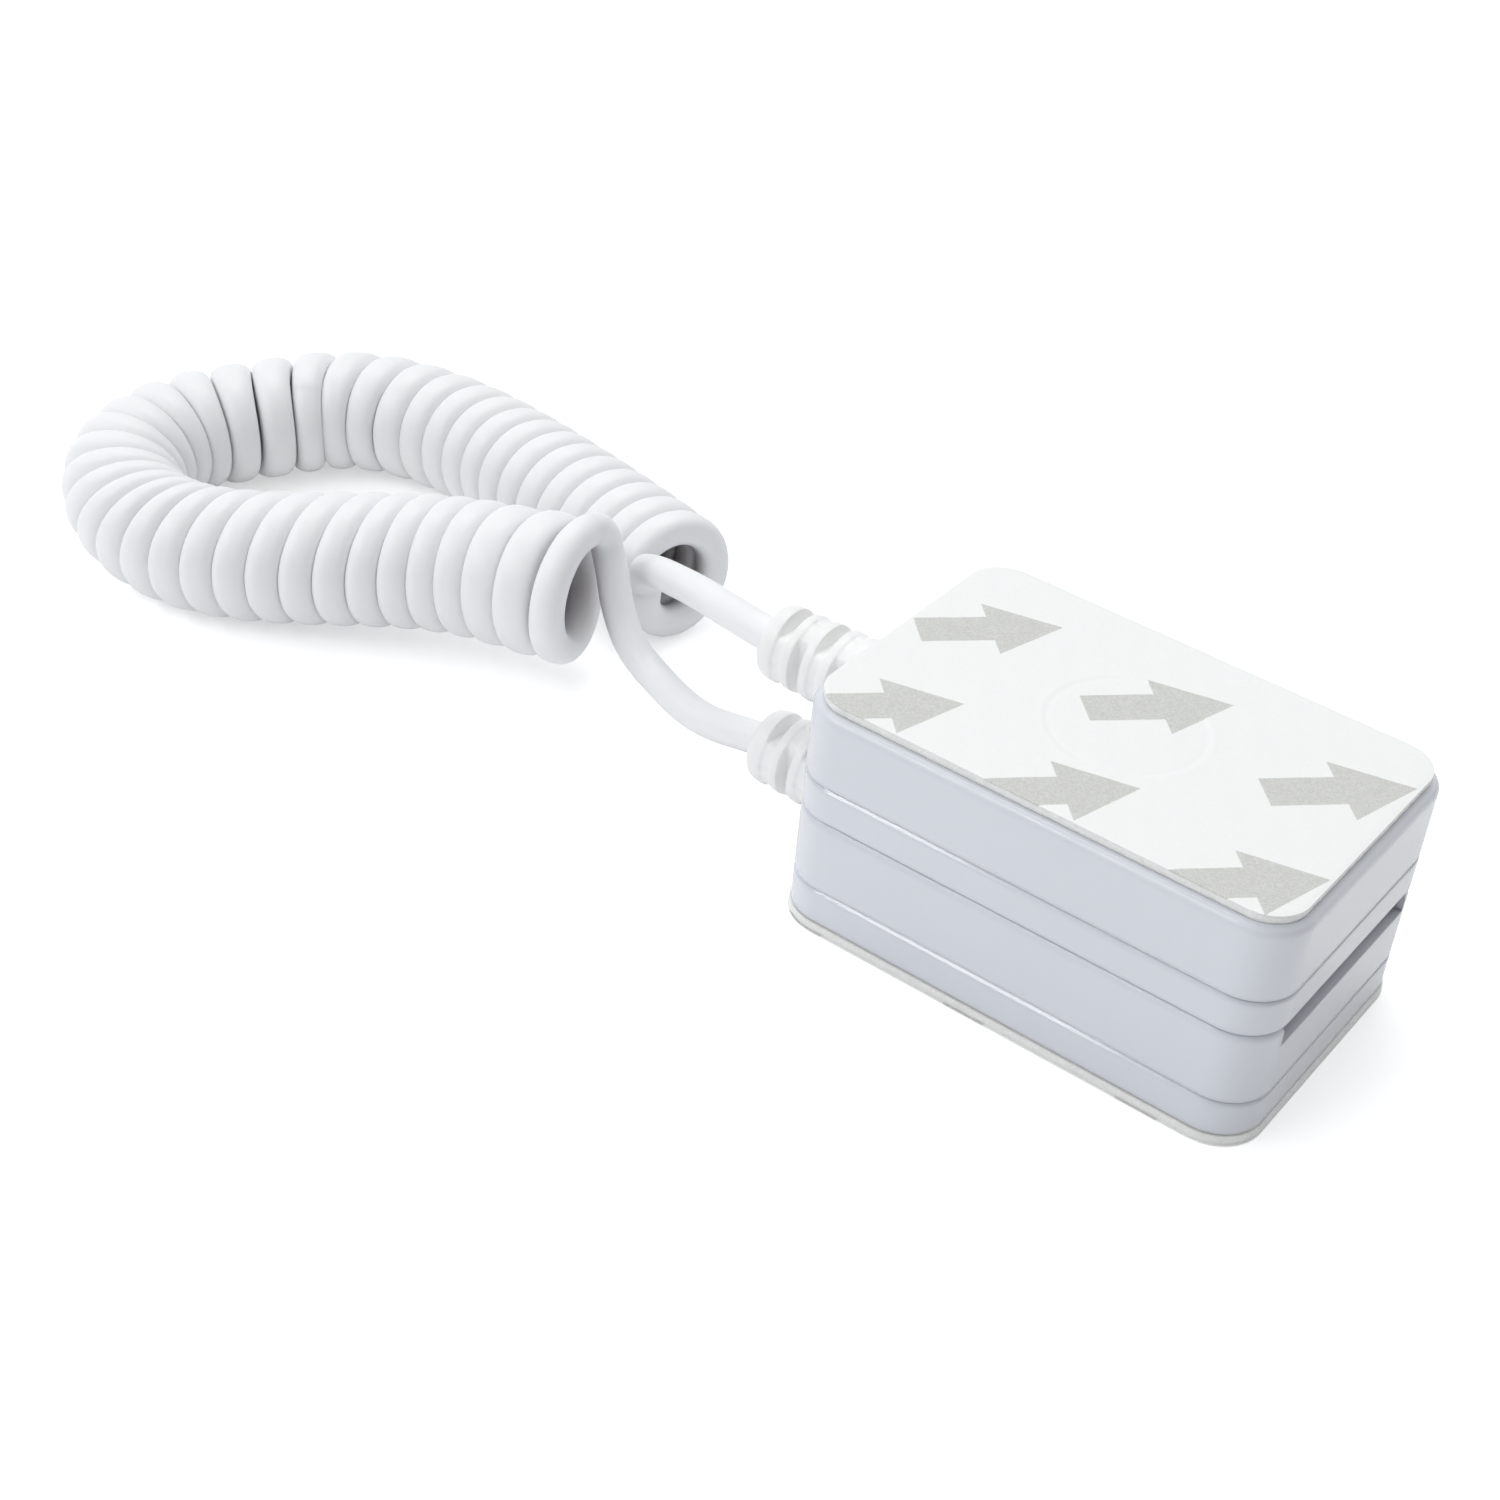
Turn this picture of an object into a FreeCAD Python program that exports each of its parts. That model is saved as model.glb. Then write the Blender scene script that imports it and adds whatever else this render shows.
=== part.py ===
import FreeCAD, Part
import Sketcher
import math
import os

# Coiled restrictor tether: two adhesive blocks that dock on each other with
# magnets, joined by one jacketed steel cord wound into a coil that lies in a
# flat loop beside them.
#
# Frame: origin at the centre of the lower block's adhesive face, +Z up through
# both blocks, +X along the blocks towards the finger slot, -X towards the cord.
# On the coil, "front" is the -Y end, "rear" the +Y end.

os.makedirs("parts", exist_ok=True)
doc = FreeCAD.newDocument("tether")
V = FreeCAD.Vector
Constraint = Sketcher.Constraint

# ---------------------------------------------------------------- dimensions
DIMENSIONS = [
    # housings
    ("block_length", 45.0), ("block_width", 29.4), ("corner_radius", 4.2),
    ("base_height", 3.5), ("shell_height", 7.0),
    ("wall", 1.6), ("floor_thick", 1.4), ("roof_thick", 1.3),
    ("lip_height", 0.9), ("lip_inset", 0.85), ("lip_thick", 1.5), ("lip_root_step", 0.75),
    ("rabbet_inset", 0.8), ("rabbet_depth", 1.0),
    ("shell_edge_fillet", 0.8), ("base_edge_fillet", 0.35), ("seam_chamfer", 0.28),
    ("slot_width", 21.5), ("slot_height", 1.9), ("slot_depth", 1.3), ("slot_overrun", 1.0),
    ("dimple_dia", 13.0), ("dimple_depth", 0.15),
    # adhesive pads and liners
    ("pad_thick", 0.78), ("liner_thick", 0.12),
    ("top_pad_inset", 0.75), ("bottom_pad_proud", 0.2),
    # magnets, keepers and their seats
    ("magnet_dia", 12.0), ("magnet_thick", 2.5), ("keeper_dia", 12.0), ("keeper_thick", 0.9),
    ("keeper_gap", 0.05), ("socket_dia", 14.8), ("socket_bore", 12.3), ("socket_height", 3.6),
    ("post_dia", 9.0), ("post_gap", 0.1), ("roof_overlap", 0.2),
    # cord, and its way through the end wall
    ("cord_dia", 3.1), ("bore_dia", 1.25), ("rope_dia", 1.05),
    ("cord_y", -2.6), ("cord_rise_lower", 5.2), ("cord_rise_upper", 5.8),
    ("passage_overrun", 1.0), ("passage_reach", 1.9), ("passage_clear", 0.05),
    ("cord_way_start", 2.6), ("cord_way_length", 14.0), ("cord_way_clear", 0.15),
    # strain-relief boots
    ("boot_tip_x", -32.8), ("boot_tip_dia", 6.8), ("boot_tip_round", 0.9),
    ("boot_base_dia", 7.5), ("boot_wall_gap", 0.05), ("boot_bore_clear", 0.02),
    ("boot_neck_dia", 5.2), ("boot_neck_extra", 0.85),
    ("boot_flange_dia", 6.6), ("boot_flange_thick", 1.2),
    ("boot_slot_width", 0.95), ("boot_slot_depth", 1.25), ("boot_slot_start", 2.45),
    ("boot_slot_pitch", 1.95), ("boot_slot_rise", 0.05),
    ("boot_slot_outer", 5.0), ("boot_cut_half", 6.0),
    # crimp ferrules, clamps and screws
    ("ferrule_dia", 4.4), ("ferrule_length", 6.0), ("ferrule_x", -17.2),
    ("ferrule_clear", 0.03), ("ferrule_mouth", 1.6),
    ("clamp_length", 4.0), ("clamp_width", 13.0), ("clamp_thick", 1.9), ("clamp_x", -14.2),
    ("clamp_rise", 0.9), ("groove_overrun", 1.0), ("hole_drop", 0.1), ("hole_extra", 2.0),
    ("counterbore_length", 3.0), ("clamp_screw_pitch", 9.4), ("screw_clear", 0.1),
    ("screw_dia", 1.9), ("screw_drop", 2.6), ("screw_extra", 2.2),
    ("screw_head_dia", 3.4), ("screw_head_thick", 1.0), ("screw_head_sink", 0.05),
    ("drive_dia", 1.5), ("drive_length", 0.7), ("drive_drop", 0.6),
    ("boss_dia", 4.4), ("boss_rise", 0.85), ("pilot_clear", 0.02), ("pilot_depth", 3.6),
    ("rib_thick", 1.2), ("rib_gap", 0.1), ("rib_reach", 4.2), ("rib_rise", 0.6),
    # coil
    ("coil_radius", 6.15), ("apex_distance", 64.5),
]


class Size:
    """A length: its number, and the sheet expression that drives it."""

    def __init__(self, number, text):
        self.number = number
        self.text = text

    def __float__(self):
        return float(self.number)

    def __str__(self):
        return self.text

    def __add__(self, other):
        return Size(float(self) + float(other), "(%s+%s)" % (self, other))

    def __sub__(self, other):
        return Size(float(self) - float(other), "(%s-%s)" % (self, other))

    def __mul__(self, other):
        return Size(float(self) * float(other), "(%s*%s)" % (self, other))

    def __truediv__(self, other):
        return Size(float(self) / float(other), "(%s/%s)" % (self, other))

    def __neg__(self):
        return Size(-float(self), "(-%s)" % self)


class Dims:
    """The driving dimensions, one Size per alias of the Dims sheet."""


sheet = doc.addObject("Spreadsheet::Sheet", "Dims")
sheet.Label = "Dims"
for row, (alias, number) in enumerate(DIMENSIONS, 1):
    sheet.set("A%d" % row, alias)
    sheet.set("B%d" % row, str(number))
    sheet.setAlias("B%d" % row, alias)
    setattr(Dims, alias, Size(number, "Dims." + alias))
doc.recompute()

# levels, from the adhesive face up
ADHESIVE_FACE = Size(0.0, "0")
BASE_LOW = Dims.pad_thick + Dims.liner_thick     # underside of the lower housing
SHELL_LOW = BASE_LOW + Dims.base_height
DOCK = SHELL_LOW + Dims.shell_height             # plane where the blocks meet
SHELL_UP = DOCK + Dims.base_height
TOP = SHELL_UP + Dims.shell_height               # top of the upper housing
CORD_LOW = BASE_LOW + Dims.cord_rise_lower
CORD_UP = DOCK + Dims.cord_rise_upper

END_X = -Dims.block_length / 2                   # outer face of the cord end
SCREW_ROWS = (Dims.cord_y - Dims.clamp_screw_pitch / 2,
              Dims.cord_y + Dims.clamp_screw_pitch / 2)

parts = {}                                       # finished objects by label


def keep(obj, label):
    obj.Label = label
    parts[label] = obj


# ---------------------------------------------------------------- sketch and body helpers
def new_body(label):
    return doc.addObject("PartDesign::Body", label)


def new_sketch(body, name, role, offset=None):
    """Sketch on an origin plane of the body, moved along the plane's normal."""
    sketch = body.newObject("Sketcher::SketchObject", body.Name + "_" + name)
    plane = next(f for f in body.Origin.OriginFeatures if f.Role == role)
    sketch.AttachmentSupport = [(plane, "")]
    sketch.MapMode = "FlatFace"
    if offset is not None:
        sketch.setExpression("AttachmentOffset.Base.z", str(offset))
    return sketch


def bind(sketch, constraint, name, size):
    index = sketch.addConstraint(constraint)
    sketch.renameConstraint(index, name)
    sketch.setExpression("Constraints." + name, str(size))


def locate(sketch, name, kind, geo, point, size):
    """Signed distance from the sketch origin; the constraint itself must stay positive."""
    if float(size) < 0:
        bind(sketch, Constraint(kind, geo, point, -1, 1, -float(size)), name, -size)
    else:
        bind(sketch, Constraint(kind, -1, 1, geo, point, float(size)), name, size)


def add_outline(sketch, tag, inset=0):
    """Rounded rectangle of the block, centred on the origin and drawn in by the inset."""
    length = Dims.block_length / 2 - inset
    width = Dims.block_width / 2 - inset
    corner = Dims.corner_radius - inset
    x, y, radius = float(length), float(width), float(corner)
    x_in, y_in = x - radius, y - radius
    sides = [((-x_in, -y), (x_in, -y)), ((x, -y_in), (x, y_in)),
             ((x_in, y), (-x_in, y)), ((-x, y_in), (-x, -y_in))]
    centres = [(x_in, -y_in), (x_in, y_in), (-x_in, y_in), (-x_in, -y_in)]
    first = len(sketch.Geometry)
    geometry = [Part.LineSegment(V(*start, 0), V(*end, 0)) for start, end in sides]
    for i, centre in enumerate(centres):
        circle = Part.Circle(V(*centre, 0), V(0, 0, 1), radius)
        geometry.append(Part.ArcOfCircle(circle, (i - 1) * math.pi / 2, i * math.pi / 2))
    sketch.addGeometry(geometry, False)
    for side, arc in ((0, 4), (1, 5), (2, 6), (3, 7), (4, 1), (5, 2), (6, 3), (7, 0)):
        sketch.addConstraint(Constraint("Tangent", first + side, 2, first + arc, 1))
    sketch.addConstraint(Constraint("Horizontal", first))
    sketch.addConstraint(Constraint("Vertical", first + 1))
    for arc in (5, 6, 7):
        sketch.addConstraint(Constraint("Equal", first + 4, first + arc))
    locate(sketch, tag + "_front", "DistanceY", first, 1, -width)
    locate(sketch, tag + "_back", "DistanceY", first + 2, 1, width)
    locate(sketch, tag + "_left", "DistanceX", first + 3, 1, -length)
    locate(sketch, tag + "_right", "DistanceX", first + 1, 1, length)
    bind(sketch, Constraint("Radius", first + 4, radius), tag + "_corner", corner)


def add_circle(sketch, tag, radius, centre=None):
    """Circle about the given (x, y), or about the sketch origin."""
    x, y = centre or (0, 0)
    circle = Part.Circle(V(float(x), float(y), 0), V(0, 0, 1), float(radius))
    geo = sketch.addGeometry(circle, False)
    if centre is None:
        sketch.addConstraint(Constraint("Coincident", geo, 3, -1, 1))
    else:
        locate(sketch, tag + "X", "DistanceX", geo, 3, x)
        locate(sketch, tag + "Y", "DistanceY", geo, 3, y)
    bind(sketch, Constraint("Radius", geo, float(radius)), tag + "R", radius)


def add_polygon(sketch, points):
    """Closed chain of lines; returns the index of the first one."""
    first = len(sketch.Geometry)
    corners = [V(float(x), float(y), 0) for x, y in points]
    count = len(corners)
    for i in range(count):
        sketch.addGeometry(Part.LineSegment(corners[i], corners[(i + 1) % count]), False)
    for i in range(count):
        sketch.addConstraint(
            Constraint("Coincident", first + i, 2, first + (i + 1) % count, 1))
    return first


def add_rect(sketch, tag, x0, x1, y0, y1):
    first = add_polygon(sketch, [(x0, y0), (x1, y0), (x1, y1), (x0, y1)])
    for side, kind in ((0, "Horizontal"), (2, "Horizontal"), (1, "Vertical"), (3, "Vertical")):
        sketch.addConstraint(Constraint(kind, first + side))
    locate(sketch, tag + "_xa", "DistanceX", first, 1, x0)
    locate(sketch, tag + "_xb", "DistanceX", first + 1, 1, x1)
    locate(sketch, tag + "_ya", "DistanceY", first, 1, y0)
    locate(sketch, tag + "_yb", "DistanceY", first + 2, 1, y1)


def extrude(kind, body, sketch, name, length, reverse=False):
    """Pad or Pocket a sketch; a step that adds or cuts nothing is an error."""
    before = 0.0 if body.Shape.isNull() else body.Shape.Volume
    feature = body.newObject("PartDesign::" + kind, body.Name + "_" + name)
    feature.Profile = sketch
    feature.Type = "Length"
    feature.setExpression("Length", str(length))
    feature.Reversed = reverse
    doc.recompute()
    gain = body.Shape.Volume - before
    if (gain if kind == "Pad" else -gain) <= 1e-6:
        raise RuntimeError(feature.Name + " changed nothing")


def dress(kind, body, name, edges, quantity, size):
    """Fillet or Chamfer on edges of the body's last feature."""
    base = body.Tip
    feature = body.newObject("PartDesign::" + kind, body.Name + "_" + name)
    feature.Base = (base, edges)
    feature.setExpression(quantity, str(size))
    doc.recompute()


def rim_edges(shape, level, tolerance=0.02):
    """Edges in the plane z = level whose midpoints lie on the block's outer outline."""
    half_length = float(Dims.block_length) / 2
    half_width = float(Dims.block_width) / 2
    radius = float(Dims.corner_radius)
    found = []
    for i, edge in enumerate(shape.Edges, 1):
        box = edge.BoundBox
        if abs(box.ZMin - float(level)) > tolerance or abs(box.ZMax - float(level)) > tolerance:
            continue
        middle = edge.valueAt((edge.FirstParameter + edge.LastParameter) / 2)
        past_x = abs(middle.x) - half_length
        past_y = abs(middle.y) - half_width
        if past_x > -radius and past_y > -radius:
            on_outline = abs(math.hypot(past_x + radius, past_y + radius) - radius) < tolerance
        else:
            on_outline = abs(past_x) < tolerance or abs(past_y) < tolerance
        if on_outline:
            found.append("Edge%d" % i)
    return found


# ---------------------------------------------------------------- housings
def add_seat(body, has_magnet, level, overlap=0, downward=False):
    """Socket ring around the magnet, or the post that ends short of the stack."""
    if has_magnet:
        sketch = new_sketch(body, "socket", "XY_Plane", level)
        add_circle(sketch, "so", Dims.socket_dia / 2)
        add_circle(sketch, "si", Dims.socket_bore / 2)
        extrude("Pad", body, sketch, "socket_ring", Dims.socket_height + overlap, downward)
    else:
        sketch = new_sketch(body, "post", "XY_Plane", level)
        add_circle(sketch, "po", Dims.post_dia / 2)
        height = (Dims.base_height + Dims.shell_height - Dims.roof_thick - Dims.floor_thick
                  - Dims.magnet_thick - Dims.keeper_thick - Dims.post_gap)
        extrude("Pad", body, sketch, "post_pad", height + overlap, downward)


def cut_passage(body, cord_z):
    """Hole along X through the end wall for the boot's neck."""
    sketch = new_sketch(body, "passage", "YZ_Plane", END_X - Dims.passage_overrun)
    add_circle(sketch, "pa", Dims.boot_neck_dia / 2 + Dims.passage_clear, (Dims.cord_y, cord_z))
    extrude("Pocket", body, sketch, "passage_cut", Dims.wall + Dims.passage_reach, True)


def add_cord_supports(body, floor, cord_z):
    """Two cradle ribs across the cord, and two drilled bosses for the clamp."""
    sketch = new_sketch(body, "ribs", "XY_Plane", floor)
    rib_ends = (Dims.ferrule_x - Dims.rib_gap,
                Dims.ferrule_x + Dims.ferrule_length + Dims.rib_gap + Dims.rib_thick)
    for i, x in enumerate(rib_ends):
        add_rect(sketch, "rib%d" % i, x - Dims.rib_thick, x,
                 Dims.cord_y - Dims.rib_reach, Dims.cord_y + Dims.rib_reach)
    extrude("Pad", body, sketch, "rib_walls", cord_z - floor + Dims.rib_rise)

    sketch = new_sketch(body, "bosses", "XY_Plane", floor)
    for i, y in enumerate(SCREW_ROWS):
        add_circle(sketch, "boss%d" % i, Dims.boss_dia / 2, (Dims.clamp_x, y))
    extrude("Pad", body, sketch, "boss_posts", cord_z - floor + Dims.boss_rise)

    sketch = new_sketch(body, "pilots", "XY_Plane", cord_z + Dims.boss_rise)
    for i, y in enumerate(SCREW_ROWS):
        add_circle(sketch, "pilot%d" % i, Dims.screw_dia / 2 + Dims.pilot_clear,
                   (Dims.clamp_x, y))
    extrude("Pocket", body, sketch, "pilot_holes", Dims.pilot_depth)


def base_plate(label, bottom, cord_z, has_magnet):
    """Open tray with a locating lip, cord cradle, clamp bosses and magnet seat."""
    body = new_body(label)
    floor = bottom + Dims.floor_thick
    rim = bottom + Dims.base_height
    tray_depth = Dims.base_height - Dims.floor_thick
    lip_inner = Dims.lip_inset + Dims.lip_thick

    sketch = new_sketch(body, "outline", "XY_Plane", bottom)
    add_outline(sketch, "o")
    extrude("Pad", body, sketch, "plate", Dims.base_height)
    sketch = new_sketch(body, "tray", "XY_Plane", rim)
    add_outline(sketch, "o", Dims.wall)
    extrude("Pocket", body, sketch, "tray_cut", tray_depth)

    # the lip stands on a thinner wall inside the tray
    sketch = new_sketch(body, "lip", "XY_Plane", floor)
    add_outline(sketch, "o", Dims.lip_inset + Dims.lip_root_step)
    add_outline(sketch, "i", lip_inner)
    extrude("Pad", body, sketch, "lip_wall", tray_depth)
    sketch = new_sketch(body, "tongue", "XY_Plane", rim)
    add_outline(sketch, "o", Dims.lip_inset)
    add_outline(sketch, "i", lip_inner)
    extrude("Pad", body, sketch, "tongue_wall", Dims.lip_height)

    add_cord_supports(body, floor, cord_z)
    add_seat(body, has_magnet, floor)
    cut_passage(body, cord_z)
    sketch = new_sketch(body, "cord_way", "YZ_Plane", END_X + Dims.cord_way_start)
    add_circle(sketch, "cw", Dims.cord_dia / 2 + Dims.cord_way_clear, (Dims.cord_y, cord_z))
    extrude("Pocket", body, sketch, "cord_way_cut", Dims.cord_way_length, True)

    dress("Fillet", body, "foot_fillet", rim_edges(body.Shape, bottom),
          "Radius", Dims.base_edge_fillet)
    dress("Chamfer", body, "seam_chamfer", rim_edges(body.Shape, rim),
          "Size", Dims.seam_chamfer)
    keep(body, label)


def top_shell(label, bottom, cord_z, has_magnet, finger_slot=False, dimple=False):
    """Five-sided cover with a rabbet for the tray's lip."""
    body = new_body(label)
    top = bottom + Dims.shell_height

    sketch = new_sketch(body, "outline", "XY_Plane", bottom)
    add_outline(sketch, "o")
    extrude("Pad", body, sketch, "block", Dims.shell_height)
    dress("Fillet", body, "top_fillet", rim_edges(body.Shape, top),
          "Radius", Dims.shell_edge_fillet)
    dress("Chamfer", body, "seam_chamfer", rim_edges(body.Shape, bottom),
          "Size", Dims.seam_chamfer / 2)

    sketch = new_sketch(body, "cavity", "XY_Plane", bottom)
    add_outline(sketch, "o", Dims.wall)
    extrude("Pocket", body, sketch, "cavity_cut", Dims.shell_height - Dims.roof_thick, True)
    sketch = new_sketch(body, "rabbet", "XY_Plane", bottom)
    add_outline(sketch, "o", Dims.rabbet_inset)
    extrude("Pocket", body, sketch, "rabbet_cut", Dims.rabbet_depth, True)

    # the seat starts inside the roof so that it fuses with it
    add_seat(body, has_magnet, top - Dims.roof_thick + Dims.roof_overlap,
             Dims.roof_overlap, True)
    cut_passage(body, cord_z)
    if finger_slot:
        sketch = new_sketch(body, "finger_slot", "XY_Plane", top)
        add_rect(sketch, "sl", Dims.block_length / 2 - Dims.slot_depth,
                 Dims.block_length / 2 + Dims.slot_overrun,
                 -Dims.slot_width / 2, Dims.slot_width / 2)
        extrude("Pocket", body, sketch, "finger_slot_cut", Dims.slot_height)
    if dimple:
        sketch = new_sketch(body, "dimple", "XY_Plane", top)
        add_circle(sketch, "di", Dims.dimple_dia / 2)
        extrude("Pocket", body, sketch, "dimple_cut", Dims.dimple_depth)
    keep(body, label)


base_plate("lower_base_plate", BASE_LOW, CORD_LOW, has_magnet=False)
top_shell("lower_shell", SHELL_LOW, CORD_LOW, has_magnet=True, finger_slot=True)
base_plate("upper_base_plate", DOCK, CORD_UP, has_magnet=True)
top_shell("upper_shell", SHELL_UP, CORD_UP, has_magnet=False, dimple=True)


# ---------------------------------------------------------------- pads and liners
def flat_sheet(label, level, thick, inset):
    body = new_body(label)
    sketch = new_sketch(body, "outline", "XY_Plane", level)
    add_outline(sketch, "o", inset)
    extrude("Pad", body, sketch, "sheet", thick)
    keep(body, label)


flat_sheet("lower_release_liner", ADHESIVE_FACE, Dims.liner_thick, -Dims.bottom_pad_proud)
flat_sheet("lower_foam_pad", Dims.liner_thick, Dims.pad_thick, -Dims.bottom_pad_proud)
flat_sheet("upper_foam_pad", TOP, Dims.pad_thick, Dims.top_pad_inset)
flat_sheet("upper_release_liner", TOP + Dims.pad_thick, Dims.liner_thick, Dims.top_pad_inset)


# ---------------------------------------------------------------- magnets and keepers
DISC_CHAMFER = 0.25


def disc(label, diameter, thick, level):
    """Round plate with both rims chamfered."""
    cylinder = doc.addObject("Part::Cylinder", label)
    cylinder.setExpression("Radius", str(diameter / 2))
    cylinder.setExpression("Height", str(thick))
    cylinder.setExpression("Placement.Base.z", str(level))
    doc.recompute()
    chamfer = doc.addObject("Part::Chamfer", label + "_edge")
    chamfer.Base = cylinder
    rims = [i for i, edge in enumerate(cylinder.Shape.Edges, 1) if edge.Closed]
    chamfer.Edges = [(i, DISC_CHAMFER, DISC_CHAMFER) for i in rims]
    keep(chamfer, label)


LOWER_MAGNET_Z = DOCK - Dims.roof_thick - Dims.magnet_thick
UPPER_MAGNET_Z = DOCK + Dims.floor_thick
disc("lower_magnet", Dims.magnet_dia, Dims.magnet_thick, LOWER_MAGNET_Z)
disc("lower_keeper_plate", Dims.keeper_dia, Dims.keeper_thick,
     LOWER_MAGNET_Z - Dims.keeper_thick - Dims.keeper_gap)
disc("upper_magnet", Dims.magnet_dia, Dims.magnet_thick, UPPER_MAGNET_Z)
disc("upper_keeper_plate", Dims.keeper_dia, Dims.keeper_thick,
     UPPER_MAGNET_Z + Dims.magnet_thick + Dims.keeper_gap)


# ---------------------------------------------------------------- strain-relief boots
BOOT_SLOTS = 4


def boot(label, cord_z):
    """Sleeve: rounded tip, tapered slotted body, neck through the wall, inner flange."""
    body = new_body(label)
    tip = Dims.boot_tip_x
    bore = Dims.cord_dia / 2 + Dims.boot_bore_clear
    tip_radius = Dims.boot_tip_dia / 2
    base_radius = Dims.boot_base_dia / 2
    neck_radius = Dims.boot_neck_dia / 2
    flange_radius = Dims.boot_flange_dia / 2
    tip_end = tip + Dims.boot_tip_round
    shoulder = END_X - Dims.boot_wall_gap
    neck_end = END_X + Dims.wall + Dims.boot_neck_extra
    flange_end = neck_end + Dims.boot_flange_thick

    # half section (x, radius), revolved about X
    profile = [
        (tip, bore), (tip, tip_radius - Dims.boot_tip_round), (tip_end, tip_radius),
        (shoulder, base_radius), (shoulder, neck_radius), (neck_end, neck_radius),
        (neck_end, flange_radius), (flange_end, flange_radius), (flange_end, bore),
    ]
    sketch = new_sketch(body, "profile", "XZ_Plane")
    add_polygon(sketch, profile)
    for i, (x, radius) in enumerate(profile):
        locate(sketch, "px%d" % i, "DistanceX", i, 1, x)
        locate(sketch, "py%d" % i, "DistanceY", i, 1, radius)
    sleeve = body.newObject("PartDesign::Revolution", label + "_sleeve")
    sleeve.Profile = sketch
    sleeve.ReferenceAxis = (sketch, ["H_Axis"])
    sleeve.Angle = 360
    doc.recompute()

    # the outer circle where the tip's cone meets the tapered body
    rounded = []
    for i, edge in enumerate(body.Shape.Edges, 1):
        box = edge.BoundBox
        at_tip_end = box.XLength < 1e-3 and abs(box.XMin - float(tip_end)) < 0.02
        if edge.Closed and at_tip_end and box.ZLength > 2 * float(bore) + 0.5:
            rounded.append("Edge%d" % i)
    dress("Fillet", body, "tip_round", rounded, "Radius", Dims.boot_tip_round)

    # staggered slots, first pair above and below, next pair at the two sides
    for k in range(BOOT_SLOTS):
        centre = tip + Dims.boot_slot_start + Dims.boot_slot_pitch * k
        start = centre - Dims.boot_slot_width / 2
        end = centre + Dims.boot_slot_width / 2
        bottom = tip_radius - Dims.boot_slot_depth + Dims.boot_slot_rise * k
        plane = "XZ_Plane" if k % 2 == 0 else "XY_Plane"
        sketch = new_sketch(body, "slot%d" % k, plane, -Dims.boot_cut_half)
        add_rect(sketch, "ra", start, end, bottom, Dims.boot_slot_outer)
        add_rect(sketch, "rb", start, end, -Dims.boot_slot_outer, -bottom)
        extrude("Pocket", body, sketch, "slot_cut%d" % k, Dims.boot_cut_half * 2, True)
    body.setExpression("Placement.Base.y", str(Dims.cord_y))
    body.setExpression("Placement.Base.z", str(cord_z))
    keep(body, label)


boot("lower_strain_relief", CORD_LOW)
boot("upper_strain_relief", CORD_UP)


# ---------------------------------------------------------------- ferrules, clamps and screws
def set_corner(obj, x, y, z):
    for axis, size in (("x", x), ("y", y), ("z", z)):
        obj.setExpression("Placement.Base." + axis, str(size))


def rod(name, radius, length, x, y, z, upright=False):
    """Cylinder starting at the point and running along +X, or along +Z when upright."""
    cylinder = doc.addObject("Part::Cylinder", name)
    cylinder.setExpression("Radius", str(radius))
    cylinder.setExpression("Height", str(length))
    if not upright:
        cylinder.Placement = FreeCAD.Placement(V(), FreeCAD.Rotation(V(0, 1, 0), 90))
    set_corner(cylinder, x, y, z)
    return cylinder


def cut(name, base, tool):
    result = doc.addObject("Part::Cut", name)
    result.Base = base
    result.Tool = tool
    return result


def crimp_ferrule(side, cord_z):
    """Tube bored for the rope, with a wider mouth for the end of the jacket."""
    start = (Dims.ferrule_x, Dims.cord_y, cord_z)
    tube = rod(side + "_ferrule_tube", Dims.ferrule_dia / 2, Dims.ferrule_length, *start)
    bore = rod(side + "_ferrule_bore", Dims.rope_dia / 2 + Dims.ferrule_clear,
               Dims.ferrule_length, *start)
    mouth = rod(side + "_ferrule_mouth", Dims.cord_dia / 2 + Dims.ferrule_clear,
                Dims.ferrule_mouth, *start)
    bored = cut(side + "_ferrule_a", tube, bore)
    keep(cut(side + "_ferrule", bored, mouth), side + "_crimp_ferrule")


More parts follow.
